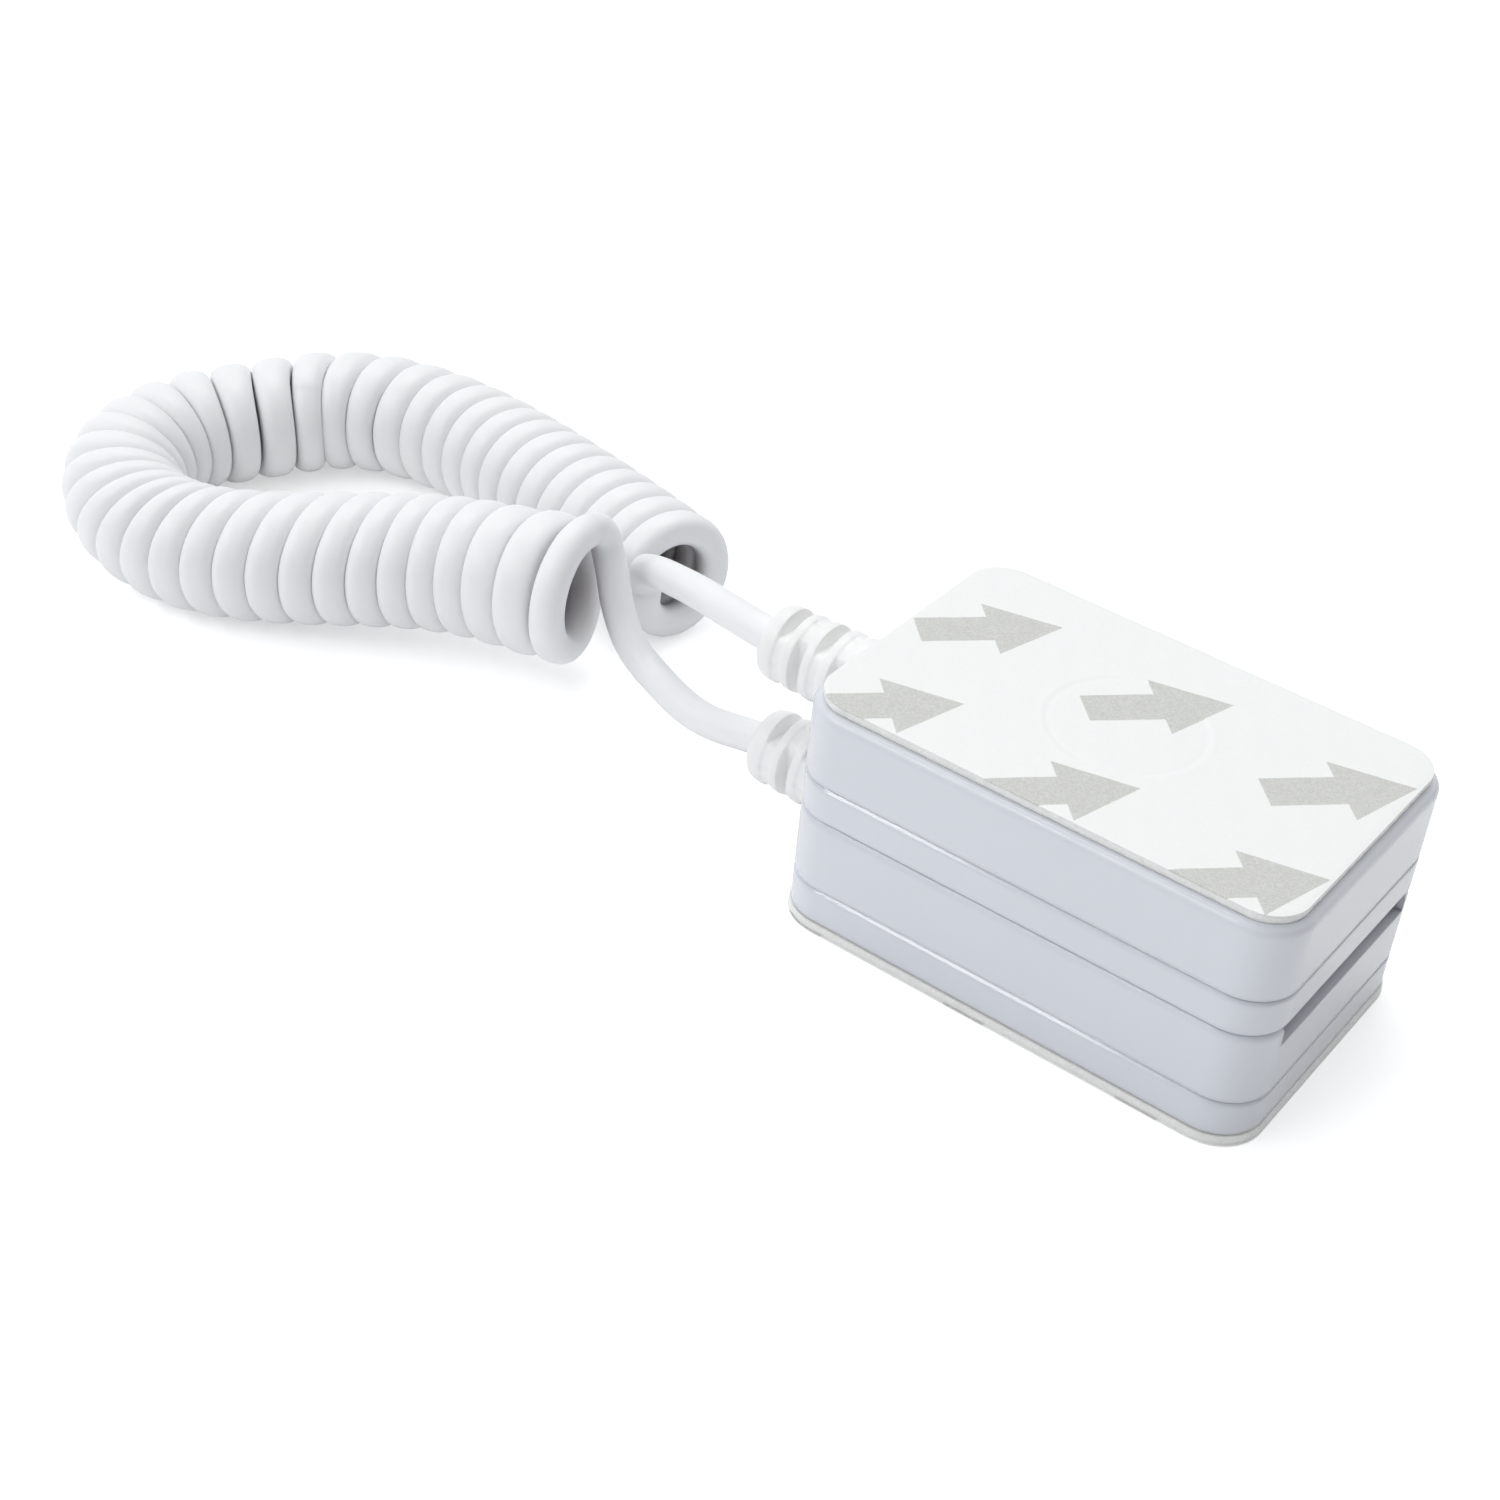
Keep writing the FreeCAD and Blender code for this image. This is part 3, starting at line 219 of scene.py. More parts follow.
def add_mesh(name, verts, faces, material, normals=None, uv=None, sharp_angle=None):
    """Smooth mesh object in metres from millimetre vertices.

    Normals are per face corner, uv per vertex; edges bent by more than sharp_angle degrees
    are marked sharp."""
    mesh = bpy.data.meshes.new(name)
    mesh.from_pydata((np.asarray(verts) * MM).tolist(), [],
                     [tuple(int(k) for k in face) for face in faces])
    mesh.polygons.foreach_set("use_smooth", [True] * len(mesh.polygons))
    if uv is not None:
        layer = mesh.uv_layers.new(name="Sheet")
        loops = np.zeros(len(mesh.loops), np.int64)
        mesh.loops.foreach_get("vertex_index", loops)
        layer.data.foreach_set("uv", np.asarray(uv, np.float32)[loops].ravel())
    mesh.update()
    if normals is not None:
        mesh.normals_split_custom_set([tuple(n) for n in np.asarray(normals, float)])
    obj = bpy.data.objects.new(name, mesh)
    bpy.context.scene.collection.objects.link(obj)
    mesh.materials.append(material)
    if sharp_angle is not None:
        mesh.set_sharp_from_angle(angle=math.radians(sharp_angle))
    return obj


def blend_bodies(obj, bodies, weights):
    """Bends obj between two bodies: weight 0 follows the first, 1 the second."""
    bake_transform(obj, bodies[0], bodies[1], (0, 0, 0), (0, 0, 1))
    attribute = obj.data.attributes["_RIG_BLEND"]
    attribute.data.foreach_set("value", np.asarray(weights, np.float32))


# =============================================================== node helpers
class Nodes:
    """Short ways to add nodes; a value may be a number, a tuple or an output socket."""

    def __init__(self, tree):
        self.tree = tree
        self.coord = self.node("ShaderNodeTexCoord")

    def node(self, kind, **settings):
        node = self.tree.nodes.new(kind)
        for name, value in settings.items():
            setattr(node, name, value)
        return node

    def link(self, output, socket):
        self.tree.links.new(output, socket)

    def put(self, socket, value):
        if isinstance(value, (int, float)):
            socket.default_value = value
        elif isinstance(value, tuple):
            full = len(value) == len(socket.default_value)
            socket.default_value = value if full else value + (1.0,)
        else:
            self.link(value, socket)

    def math(self, operation, a, b=0.0, c=None):
        node = self.node("ShaderNodeMath", operation=operation)
        self.put(node.inputs[0], a)
        self.put(node.inputs[1], b)
        if c is not None:
            self.put(node.inputs[2], c)
        return node.outputs[0]

    def add(self, a, b):
        return self.math("ADD", a, b)

    def subtract(self, a, b):
        return self.math("SUBTRACT", a, b)

    def multiply(self, a, b):
        return self.math("MULTIPLY", a, b)

    def remap(self, value, source, target=(0.0, 1.0)):
        """Carries the source range to the target range, clamped."""
        node = self.node("ShaderNodeMapRange", clamp=True)
        for socket, v in zip(node.inputs, (value, *source, *target)):
            self.put(socket, v)
        return node.outputs[0]

    def mix(self, factor, a, b):
        """Colour a at factor 0, b at factor 1."""
        node = self.node("ShaderNodeMix", data_type="RGBA")
        self.put(node.inputs[0], factor)
        self.put(node.inputs[6], a)
        self.put(node.inputs[7], b)
        return node.outputs[2]

    def split(self, value, kind="ShaderNodeSeparateXYZ"):
        node = self.node(kind)
        self.link(value, node.inputs[0])
        return node.outputs

    def camera_ray(self):
        return self.node("ShaderNodeLightPath").outputs["Is Camera Ray"]


class Material(Nodes):
    """A node material built around one Principled shader."""
    SOCKETS = {
        "color": "Base Color", "roughness": "Roughness", "metallic": "Metallic",
        "coat": "Coat Weight", "coat_roughness": "Coat Roughness",
        "subsurface": "Subsurface Weight", "subsurface_scale": "Subsurface Scale",
        "subsurface_radius": "Subsurface Radius", "specular": "Specular IOR Level",
        "anisotropic": "Anisotropic", "emission": "Emission Strength",
        "emission_color": "Emission Color"}

    def __init__(self, name):
        self.material = bpy.data.materials.new(name)
        self.material.use_nodes = True
        super().__init__(self.material.node_tree)
        self.shader = self.tree.nodes["Principled BSDF"]

    def set(self, **values):
        for name, value in values.items():
            self.put(self.shader.inputs[self.SOCKETS[name]], value)

    def noise(self, scale, detail=2.0, roughness=0.5, distortion=0.0, vector=None):
        node = self.node("ShaderNodeTexNoise")
        node.inputs["Scale"].default_value = scale
        node.inputs["Detail"].default_value = detail
        node.inputs["Roughness"].default_value = roughness
        node.inputs["Distortion"].default_value = distortion
        self.link(vector or self.coord.outputs["Object"], node.inputs["Vector"])
        return node.outputs["Fac"]

    def cells(self, scale, output="Distance", vector=None):
        node = self.node("ShaderNodeTexVoronoi")
        node.inputs["Scale"].default_value = scale
        self.link(vector or self.coord.outputs["Object"], node.inputs["Vector"])
        return node.outputs[output]

    def cell_channels(self, scale, vector=None):
        """Three independent random values for each cell."""
        color = self.cells(scale, output="Color", vector=vector)
        return self.split(color, "ShaderNodeSeparateColor")

    def sheet_uv(self):
        return self.node("ShaderNodeUVMap", uv_map="Sheet").outputs["UV"]

    def bump(self, height, distance, strength):
        node = self.node("ShaderNodeBump")
        node.inputs["Strength"].default_value = strength
        node.inputs["Distance"].default_value = distance
        self.link(height, node.inputs["Height"])
        self.link(node.outputs["Normal"], self.shader.inputs["Normal"])
        return node

    def openness(self, distance, source):
        """0 deep in a recess, 1 on an open face."""
        node = self.node("ShaderNodeAmbientOcclusion", samples=6)
        node.inputs["Distance"].default_value = distance
        return self.remap(node.outputs["AO"], source)


# =============================================================== materials
def moulded(name, light, dark, roughness, peel, coat=0.0, subsurface=0.0, specks=0.0,
            recess=None, core_shade=False, soft_edge=0.0):
    """Moulded plastic: faint flow clouds between light and dark, and orange peel.

    peel is the bump height, specks the strength of dust specks, soft_edge a bevel radius.
    recess paints shade into hollows; core paints shade on the inside of the coil."""
    mat = Material(name)
    clouds = mat.remap(mat.noise(scale=70.0, detail=3.0, roughness=0.55, distortion=0.6),
                       source=(0.35, 0.7))
    flow_strength = 0.35
    color = mat.mix(mat.multiply(clouds, flow_strength), light, dark)
    if specks:
        speck_size, speck_cutoff = 0.018, 0.60
        speck_color = (0.30, 0.29, 0.28)
        dots = mat.math("LESS_THAN", mat.cells(scale=300.0), speck_size)
        kept = mat.math("GREATER_THAN", mat.noise(scale=90.0, detail=0.0), speck_cutoff)
        color = mat.mix(mat.multiply(mat.multiply(dots, kept), specks), color, speck_color)
    if core_shade:
        # painted shade: the Sheet map marks the side facing the coil's axis; it darkens the deeper it lies
        core_shade_color = (0.36, 0.33, 0.345)
        mark = mat.split(mat.sheet_uv())[0]
        shade = mat.multiply(
            mat.remap(mark, source=(0.05, 0.6)),
            mat.subtract(1.0, mat.openness(distance=0.012, source=(0.08, 0.50))))
        color = mat.mix(shade, color, core_shade_color)
    # painted shade: hollows are darkened towards the recess colour by ambient occlusion
    if recess is not None:
        openness = mat.openness(recess["distance"], recess["source"])
        color = mat.mix(openness, recess["color"], color)
    fine = mat.noise(scale=2600.0, detail=2.0, roughness=0.6)
    wide = mat.noise(scale=420.0, detail=3.0, roughness=0.6)
    fine_share, wide_share = 0.35, 0.65
    scuff = mat.remap(wide, source=(0.42, 0.72), target=roughness)
    mat.set(color=color, roughness=scuff, coat=coat, coat_roughness=0.07,
            subsurface=subsurface, subsurface_scale=0.0012,
            subsurface_radius=(1.0, 0.85, 0.7), specular=0.45)
    height = mat.add(mat.multiply(fine, fine_share), mat.multiply(wide, wide_share))
    bump = mat.bump(height, distance=peel, strength=0.8)
    if soft_edge:
        bevel = mat.node("ShaderNodeBevel", samples=4)
        bevel.inputs["Radius"].default_value = soft_edge
        mat.link(bevel.outputs["Normal"], bump.inputs["Normal"])
    return mat.material


def metal(name, base, stain, roughness, stretch, scale, depth):
    """Plated or drawn metal: stretched grain, small stains and uneven polish."""
    mat = Material(name)
    mapping = mat.node("ShaderNodeMapping")
    mapping.inputs["Scale"].default_value = stretch
    mat.link(mat.coord.outputs["Object"], mapping.inputs["Vector"])
    grain = mat.noise(scale, detail=4.0, vector=mapping.outputs["Vector"])
    blots = mat.remap(mat.noise(scale=260.0, detail=4.0, roughness=0.6), source=(0.45, 0.75))
    mat.set(color=mat.mix(blots, base, stain), metallic=1.0,
            roughness=mat.remap(grain, source=(0.3, 0.7), target=roughness),
            anisotropic=0.35)
    mat.bump(grain, distance=depth, strength=0.7)
    return mat.material


def foam():
    """Clear acrylic foam tape: grey, cloudy, full of tiny bright facets."""
    mat = Material("acrylic_foam")
    cloud_dark, cloud_light = (0.790, 0.800, 0.775), (0.870, 0.876, 0.852)
    facet_color, facet_strength, facet_height = (0.93, 0.93, 0.92), 0.75, 0.5
    facets = mat.cell_channels(scale=7200.0)
    bright = mat.remap(facets[0], source=(0.90, 0.97))
    clouds = mat.remap(mat.noise(scale=900.0, detail=4.0, roughness=0.65), source=(0.3, 0.7))
    color = mat.mix(clouds, cloud_dark, cloud_light)
    color = mat.mix(mat.multiply(bright, facet_strength), color, facet_color)
    # painted light: the foam gives off a faint glow of its own colour, lightening its shaded edge
    mat.set(color=color,
            roughness=mat.remap(facets[1], source=(0.0, 1.0), target=(0.25, 0.75)),
            subsurface=0.30, subsurface_scale=0.0010, subsurface_radius=(1.0, 1.0, 1.0),
            specular=0.6, emission_color=color, emission=0.08)
    height = mat.add(mat.noise(scale=2600.0, detail=4.0, roughness=0.7),
                     mat.multiply(facets[2], facet_height))
    mat.bump(height, distance=0.00006, strength=0.9)
    return mat.material


# printed arrow of the liner, in sheet millimetres; it points towards +X +Y
ARROW_PITCH_X, ARROW_PITCH_Y = 16.4, 15.3
ARROW_X, ARROW_Y = 0.6, 4.2
ARROW_REACH = 6.3                         # from the arrow's centre to tip and to tail
ARROW_SHAFT_HALF_WIDTH = 1.75
ARROW_SHAFT_END = 0.35                    # the shaft ends just under the head
ARROW_HEAD_SLOPE = 0.60                   # half-width gained per millimetre from the tip
ARROW_SOFT_EDGE, ARROW_WOBBLE = 0.045, 0.10


def liner():
    """Coated release paper with a repeating pale grey arrow."""
    mat = Material("release_liner")
    sheet = mat.sheet_uv()
    x, y = mat.split(sheet)[:2]
    uv = mat.coord.outputs["UV"]

    def repeat(value, centre, pitch):
        """Distance from the nearest repeat of centre."""
        wrapped = mat.math("FLOORED_MODULO", mat.add(value, pitch / 2 - centre), pitch)
        return mat.subtract(wrapped, pitch / 2)

    def below(value, limit):
        edges = (mat.subtract(limit, ARROW_SOFT_EDGE), mat.add(limit, ARROW_SOFT_EDGE))
        return mat.remap(value, source=edges, target=(1.0, 0.0))

    u = repeat(x, ARROW_X, ARROW_PITCH_X)
    v = repeat(y, ARROW_Y, ARROW_PITCH_Y)
    diagonal = math.sqrt(0.5)
    along = mat.multiply(mat.add(u, v), diagonal)
    across = mat.math("ABSOLUTE", mat.multiply(mat.subtract(v, u), diagonal))
    ripple = mat.noise(scale=5.5, detail=3.0, roughness=0.6, vector=uv)
    wobble = mat.multiply(mat.subtract(ripple, 0.5), ARROW_WOBBLE)
    along, across = mat.add(along, wobble), mat.add(across, wobble)

    in_width = below(across, ARROW_SHAFT_HALF_WIDTH)
    past_tail = below(mat.multiply(along, -1.0), ARROW_REACH)
    under_head = below(along, ARROW_SHAFT_END)
    shaft = mat.multiply(mat.multiply(in_width, past_tail), under_head)
    slope = mat.multiply(mat.subtract(ARROW_REACH, along), ARROW_HEAD_SLOPE)
    head = mat.multiply(below(across, slope), below(mat.multiply(along, -1.0), 0.0))
    mark = mat.math("MAXIMUM", shaft, head)

    ink_dark, ink_light = (0.590, 0.595, 0.565), (0.710, 0.712, 0.688)
    paper_light, paper_dark = (0.930, 0.936, 0.922), (0.912, 0.919, 0.907)
    grain_share, speck_share = 0.6, 0.4
    ink_height, fibre_height, ink_roughness = 0.5, 0.2, 0.16
    grain = mat.noise(scale=9.0, detail=4.0, roughness=0.75, vector=uv)
    specks = mat.cell_channels(scale=7.0, vector=sheet)[0]
    tone = mat.add(mat.multiply(grain, grain_share), mat.multiply(specks, speck_share))
    ink = mat.mix(mat.remap(tone, source=(0.3, 0.75)), ink_dark, ink_light)
    fibre = mat.remap(mat.noise(scale=2.2, detail=5.0, roughness=0.7, vector=uv),
                      source=(0.35, 0.7))
    paper = mat.mix(fibre, paper_light, paper_dark)
    mat.set(color=mat.mix(mark, paper, ink),
            roughness=mat.add(mat.remap(grain, source=(0.3, 0.7), target=(0.34, 0.46)),
                              mat.multiply(mark, ink_roughness)),
            subsurface=0.05, subsurface_scale=0.0004, specular=0.4)
    height = mat.add(mat.multiply(mat.multiply(mark, tone), ink_height),
                     mat.multiply(fibre, fibre_height))
    mat.bump(height, distance=0.00005, strength=0.8)
    return mat.material


SHELL_MATERIAL = moulded(
    "shell_plastic", light=(0.725, 0.752, 0.800), dark=(0.700, 0.727, 0.775),
    roughness=(0.14, 0.21), peel=0.000003, coat=0.55, subsurface=0.05, specks=0.25,
    # painted shade: the recess colour darkens the shell's hollows
    recess={"distance": 0.0045, "source": (0.05, 0.52), "color": (0.25, 0.235, 0.255)},
    soft_edge=0.0008)
# the cord jacket carries painted shade on the inside of the coil
CORD_MATERIAL = moulded(
    "cord_jacket", light=(0.902, 0.907, 0.914), dark=(0.884, 0.890, 0.897),
    roughness=(0.36, 0.50), peel=0.00001, subsurface=0.22, core_shade=True)
BOOT_MATERIAL = moulded(
    "boot_rubber", light=(0.905, 0.908, 0.900), dark=(0.885, 0.889, 0.880),
    roughness=(0.34, 0.48), peel=0.00001, subsurface=0.20)
NYLON_MATERIAL = moulded(
    "clamp_nylon", light=(0.62, 0.62, 0.60), dark=(0.54, 0.54, 0.52),
    roughness=(0.42, 0.58), peel=0.00003)
NICKEL_MATERIAL = metal(
    "nickel_plate", base=(0.78, 0.76, 0.72), stain=(0.66, 0.64, 0.60),
    roughness=(0.10, 0.24), stretch=(1, 1, 1), scale=900.0, depth=0.000004)
ZINC_MATERIAL = metal(
    "zinc_steel", base=(0.62, 0.63, 0.65), stain=(0.47, 0.48, 0.50),
    roughness=(0.26, 0.46), stretch=(1, 6, 1), scale=700.0, depth=0.000008)
WIRE_MATERIAL = metal(
    "drawn_wire", base=(0.60, 0.61, 0.63), stain=(0.45, 0.46, 0.48),
    roughness=(0.24, 0.40), stretch=(1, 5, 5), scale=900.0, depth=0.000008)
FOAM_MATERIAL = foam()
LINER_MATERIAL = liner()


# =============================================================== cord path
def coil_samples():
    """Points of the cord round the coil, directions away from its axis, axis distances."""
    chord = run_length(COIL_AXIS)
    axis = spline(chord, COIL_AXIS)
    parameter = np.linspace(0.0, chord[-1], 2001)
    axis_length = run_length(axis(parameter)[0])

    count = int(round((LAST_TURN - FIRST_TURN) * SAMPLES_PER_TURN))
    turns = np.linspace(FIRST_TURN, LAST_TURN, count + 1)
    distance = spline(*np.transpose(COIL_TURNS))(turns)[0]
    centre, heading = axis(np.interp(distance, axis_length, parameter))
    x, y = centre.T
    heading_x, heading_y = unit(heading).T

    outside = COIL_RADIUS + spline(*np.transpose(RADIUS_ADD))(distance)[0]
    arm = outside - CORD_RADIUS
    angle = math.radians(TURN_PHASE) - 2 * np.pi * turns
    side, top = np.cos(angle), np.sin(angle)
    lean_table = np.array(LEAN)
    lean_top, lean_side = spline(lean_table[:, 0], lean_table[:, 1:])(distance)[0].T
    lean = lean_top * top + lean_side * side
    lift = np.maximum(0.0, spline(*np.transpose(RAISE))(distance)[0])
    points = np.stack([
        x - arm * side * heading_y + lean * heading_x + RAISE_SHIFT_X * lift,
        y + arm * side * heading_x + lean * heading_y + RAISE_SHIFT_Y * lift,
        outside + arm * top + lift], -1)
    return points, np.stack([-side * heading_y, side * heading_x, top], -1), distance


def tail_samples(points, first, last):
    """Evenly spaced samples between two stations of one smooth curve through points."""
    length = run_length(points)
    start, end = length[first], length[last]
    count = max(2, int(round((end - start) / TAIL_STEP)))
    return spline(length, points)(np.linspace(start, end, count + 1))[0]


def coarse_path():
    """Points of the whole cord from lower to upper block, section directions, axis
    distances, and the first and last index of the coil."""
    coil, outward, distance = coil_samples()
    lower = [(x, CORD_Y, Z_CORD_LOWER) for x in STRAIGHT_X] + FRONT_TAIL
    upper = REAR_TAIL + [(x, CORD_Y, Z_CORD_UPPER) for x in STRAIGHT_X[::-1]]
    # each tail curve also takes in the nearest samples of the coil, for a smooth joint
    lower_tail = tail_samples(np.concatenate([lower, coil[:10:3]]), 0, len(lower))[:-1]
    joined = np.concatenate([coil[-10::3], upper])
    upper_tail = tail_samples(joined, len(joined) - len(upper) - 1, -1)[1:]
    points = np.concatenate([lower_tail, coil, upper_tail])
    first = len(lower_tail)
    last = first + len(coil) - 1

    padded = np.concatenate([points[:1], points, points[-1:]])
    tangent = unit(padded[2:] - padded[:-2])
    across = np.zeros_like(points)
    across[first:last + 1] = square_to(outward, tangent[first:last + 1])
    # the tails carry the direction on from the coil without twist
    for i in range(first - 1, -1, -1):
        across[i] = square_to(across[i + 1], tangent[i])
    for i in range(last + 1, len(points)):
        across[i] = square_to(across[i - 1], tangent[i])
    distance = np.pad(distance, (len(lower_tail), len(upper_tail)), mode="edge")
    return points, across, distance, first, last


def fine_path():
    """Fine samples: point, tangent, two section directions, axis distance, coil ends."""
    points, across, distance, first, last = coarse_path()
    knots = np.arange(len(points))
    t = np.linspace(0, len(points) - 1, (len(points) - 1) * FINE + 1)
    path, slope = spline(knots, points)(t)
    tangent = unit(slope)
    across = square_to(spline(knots, across)(t)[0], tangent)
    return (path, tangent, across, np.cross(tangent, across),
            np.interp(t, knots, distance), first * FINE, last * FINE)


PATH, TANGENT, ACROSS, ALONG, DISTANCE, COIL_START, COIL_END = fine_path()
LAST = len(PATH) - 1


def station(distance):
    """Fine sample of the coil nearest to a distance along its axis."""
    return COIL_START + int(np.argmin(abs(DISTANCE[COIL_START:COIL_END] - distance)))


LOOP_START, LOOP_END = station(50.0), station(80.0)
# 0 on the tails, 1 on the coil
INSIDE = (smoothstep((DISTANCE - DISTANCE[COIL_START]) / 3.0)
          * smoothstep((DISTANCE[COIL_END] - DISTANCE) / 3.0))


# =============================================================== cord jacket and rope
SIDES = 24
ANGLES = 2 * np.pi * np.arange(SIDES) / SIDES
JACKET_GAP, JACKET_PRESS = 0.012, 0.09    # gap between turns, overlap pressed in on the coil
JACKET_MIN_WIDTH = 0.42                   # against the round section
JACKET_FILLING = 0.7                      # how far the pressed section goes towards an oblong
ROPE_STRANDS, ROPE_GROOVE, ROPE_LAY = 6, 0.16, 9.0
ROPE_REACH_X = [-14.6, -13.5, -12.4, -11.4]   # rope rings inside the block, past the jacket
BOOT_BEND_IN_X, BOOT_BEND_OUT_X = -23.0, -32.0    # the boots bend between these


def boot_weight(x):
    """0 at the block, 1 at the tip of the boot."""
    return smoothstep((x - BOOT_BEND_IN_X) / (BOOT_BEND_OUT_X - BOOT_BEND_IN_X))


def jacket_width():
    """Width of the jacket along the coil against round: it swells or flattens to rest
    against the next turn."""
    count = len(PATH)
    near = np.full(count, 9.9)
    for k in range(9 * FINE, 26 * FINE):
        gap = np.linalg.norm(PATH[k:] - PATH[:-k], axis=1)
        near[k:] = np.minimum(near[k:], gap)
        near[:-k] = np.minimum(near[:-k], gap)
    # widest where the loop spreads the turns, 76 mm along the axis
    widest = 1.0 + INSIDE * (0.17 + 0.33 * np.exp(-((DISTANCE - 76.0) / 8.0) ** 2))
    width = (near / 2 - JACKET_GAP + JACKET_PRESS * INSIDE) / CORD_RADIUS
    width = np.clip(width, JACKET_MIN_WIDTH, None)
    padded = np.pad(width, 1, mode="edge")
    width = np.min([padded[k:k + count] for k in range(3)], axis=0)
    for _ in range(6):
        width = np.r_[width[0], (width[:-2] + 2 * width[1:-1] + width[2:]) / 4, width[-1]]
    return np.minimum(width, widest)


def cord_skin(radii, width=1.0, outward=True):
    """Rings of points round the whole path and the normal of each."""
    width = np.reshape(width, (-1, 1))
    grid = (PATH[:, None] + (radii * np.cos(ANGLES))[:, :, None] * ACROSS[:, None]
            + (radii * np.sin(ANGLES) * width)[:, :, None] * ALONG[:, None])
    round_ring = np.roll(grid, -1, 1) - np.roll(grid, 1, 1)
    normals = unit(np.cross(round_ring, np.gradient(grid, axis=0)))
    turn_out = np.sign((normals * (grid - PATH[:, None])).sum(2).mean())
    return grid, normals * (turn_out if outward else -turn_out)


def jacket_radii():
    """Round on the tails, a rounded oblong where the turns press on each other."""
    power = 2.0 + JACKET_FILLING * INSIDE[:, None]
    spread = abs(np.cos(ANGLES)) ** power + abs(np.sin(ANGLES)) ** power
    return CORD_RADIUS * spread ** (-1.0 / power)


def rope_radii():
    """Strands twisted once round in each lay length."""
    twist = run_length(PATH)[:, None] * (2 * np.pi / ROPE_LAY)
    groove = 0.5 - 0.5 * np.cos(ROPE_STRANDS * ANGLES + twist)
    return ROPE_RADIUS * (1 - ROPE_GROOVE * groove)


JACKET_SKIN = cord_skin(jacket_radii(), jacket_width())
BORE_SKIN = cord_skin(np.full((len(PATH), SIDES), BORE_RADIUS), outward=False)
ROPE_SKIN = cord_skin(rope_radii())


def tube_faces(grid, normals):
    """Quads of an open tube, wound to agree with its normals."""
    verts = grid.reshape(-1, 3)
    faces = grid_quads(*grid.shape[:2])
    agree = facing(verts, *faces.T[:3]) * normals.reshape(-1, 3)[faces[:, 0]]
    return faces if agree.sum() > 0 else faces[:, ::-1]


def cord_piece(name, first, last, weights, bodies, nodes, material, outer, inner=None,
               reach=None):
    """Closed tube over fine samples first..last, bent between two bodies.

    reach holds X positions of rings that carry the end inside the block further on."""
    run = slice(first, last + 1)
    grid, normals, tangent = outer[0][run], outer[1][run], TANGENT[run]
    # mark the side that faces the coil's axis for painted shade; only the coil's mouths look dark inside
    mark = -np.cos(ANGLES)
    if reach:
        before = first == 0
        end = 0 if before else -1
        ring = grid[end]
        middle = ring[:, 0].mean()
        more = np.stack([ring - (middle, 0, 0) + (x, 0, 0)
                         for x in (reach[::-1] if before else reach)])

        def lengthen(rows, extra):
            return np.concatenate([extra, rows] if before else [rows, extra])
        copies = [end] * len(reach)
        grid = lengthen(grid, more)
        normals = lengthen(normals, normals[copies])
        tangent = lengthen(tangent, tangent[copies])
        weights = lengthen(weights, weights[copies])
        shade_marks = np.tile(mark, len(grid))
    else:
        distance = DISTANCE[run]
        mouth = smoothstep((11.0 - distance) / 5.0) + smoothstep((distance - 121.0) / 5.0)
        shade_marks = np.tile(mark, len(grid)) * np.repeat(mouth, SIDES)

    rings = len(grid)
    skins = [(grid, normals)]
    if inner is not None:
        skins.append((inner[0][run], inner[1][run]))
    skin_size = rings * SIDES
    verts = np.concatenate([g.reshape(-1, 3) for g, _ in skins])
    vertex_normals = np.concatenate([n.reshape(-1, 3) for _, n in skins])
    walls = np.concatenate([tube_faces(g, n) + k * skin_size
                            for k, (g, n) in enumerate(skins)])
    faces = [tuple(f) for f in walls]
    corners = [vertex_normals[k] for f in faces for k in f]

    for row, way in ((0, -1), (rings - 1, 1)):
        out = tangent[row] * way
        start = row * SIDES
        if inner is None:
            caps = [[start + j for j in range(SIDES)]]
            probe = (0, SIDES // 3, 2 * SIDES // 3)
        else:
            caps = []
            for j in range(SIDES):
                a, b = start + j, start + (j + 1) % SIDES
                caps.append([a, b, skin_size + b, skin_size + a])
            probe = (0, 1, 2)
        for face in caps:
            if facing(verts, *[face[k] for k in probe]) @ out <= 0:
                face = face[::-1]
            faces.append(tuple(face))
            corners += [out] * len(face)

    uv = np.zeros((len(verts), 2))
    uv[:skin_size, 0] = shade_marks
    obj = add_mesh(name, verts, faces, material, normals=corners, uv=uv)
    blend_bodies(obj, bodies, np.tile(np.repeat(weights, SIDES), len(skins)))
    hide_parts(*nodes)


def progress(first, last):
    """0 to 1 with the distance along the coil axis between two samples."""
    run = DISTANCE[first:last + 1]
    return (run - run[0]) / (run[-1] - run[0])


# name, first and last sample, weights, bodies bent between, endings of the replaced nodes
CORD_RUNS = [
    ("lower_cord", 0, COIL_START, boot_weight(PATH[:COIL_START + 1, 0]),
     ("lower_block", "lower_cord"), ("lower_end", "lower_tail")),
    ("front_coil", COIL_START, LOOP_START, progress(COIL_START, LOOP_START),
     ("lower_cord", "front_coil"), ("front_coil",)),
    ("loop", LOOP_START, LOOP_END, smoothstep(progress(LOOP_START, LOOP_END)),
     ("front_coil", "rear_coil"), ("front_coil", "rear_coil")),
    ("rear_coil", LOOP_END, COIL_END, progress(LOOP_END, COIL_END),
     ("rear_coil", "upper_cord"), ("rear_coil",)),
    ("upper_cord", COIL_END, LAST, 1.0 - boot_weight(PATH[COIL_END:, 0]),
     ("upper_cord", "upper_block"), ("upper_tail", "upper_end")),
]
for key, first, last, weights, bodies, endings in CORD_RUNS:
    weights = np.clip(weights, 0.0, 1.0)
    cord_piece("jacket_" + key, first, last, weights, bodies,
               ["cord_jacket_" + e for e in endings], CORD_MATERIAL,
               JACKET_SKIN, inner=BORE_SKIN)
    cord_piece("rope_" + key, first, last, weights, bodies,
               ["wire_rope_" + e for e in endings], WIRE_MATERIAL,
               ROPE_SKIN, reach=ROPE_REACH_X if first == 0 or last == LAST else None)


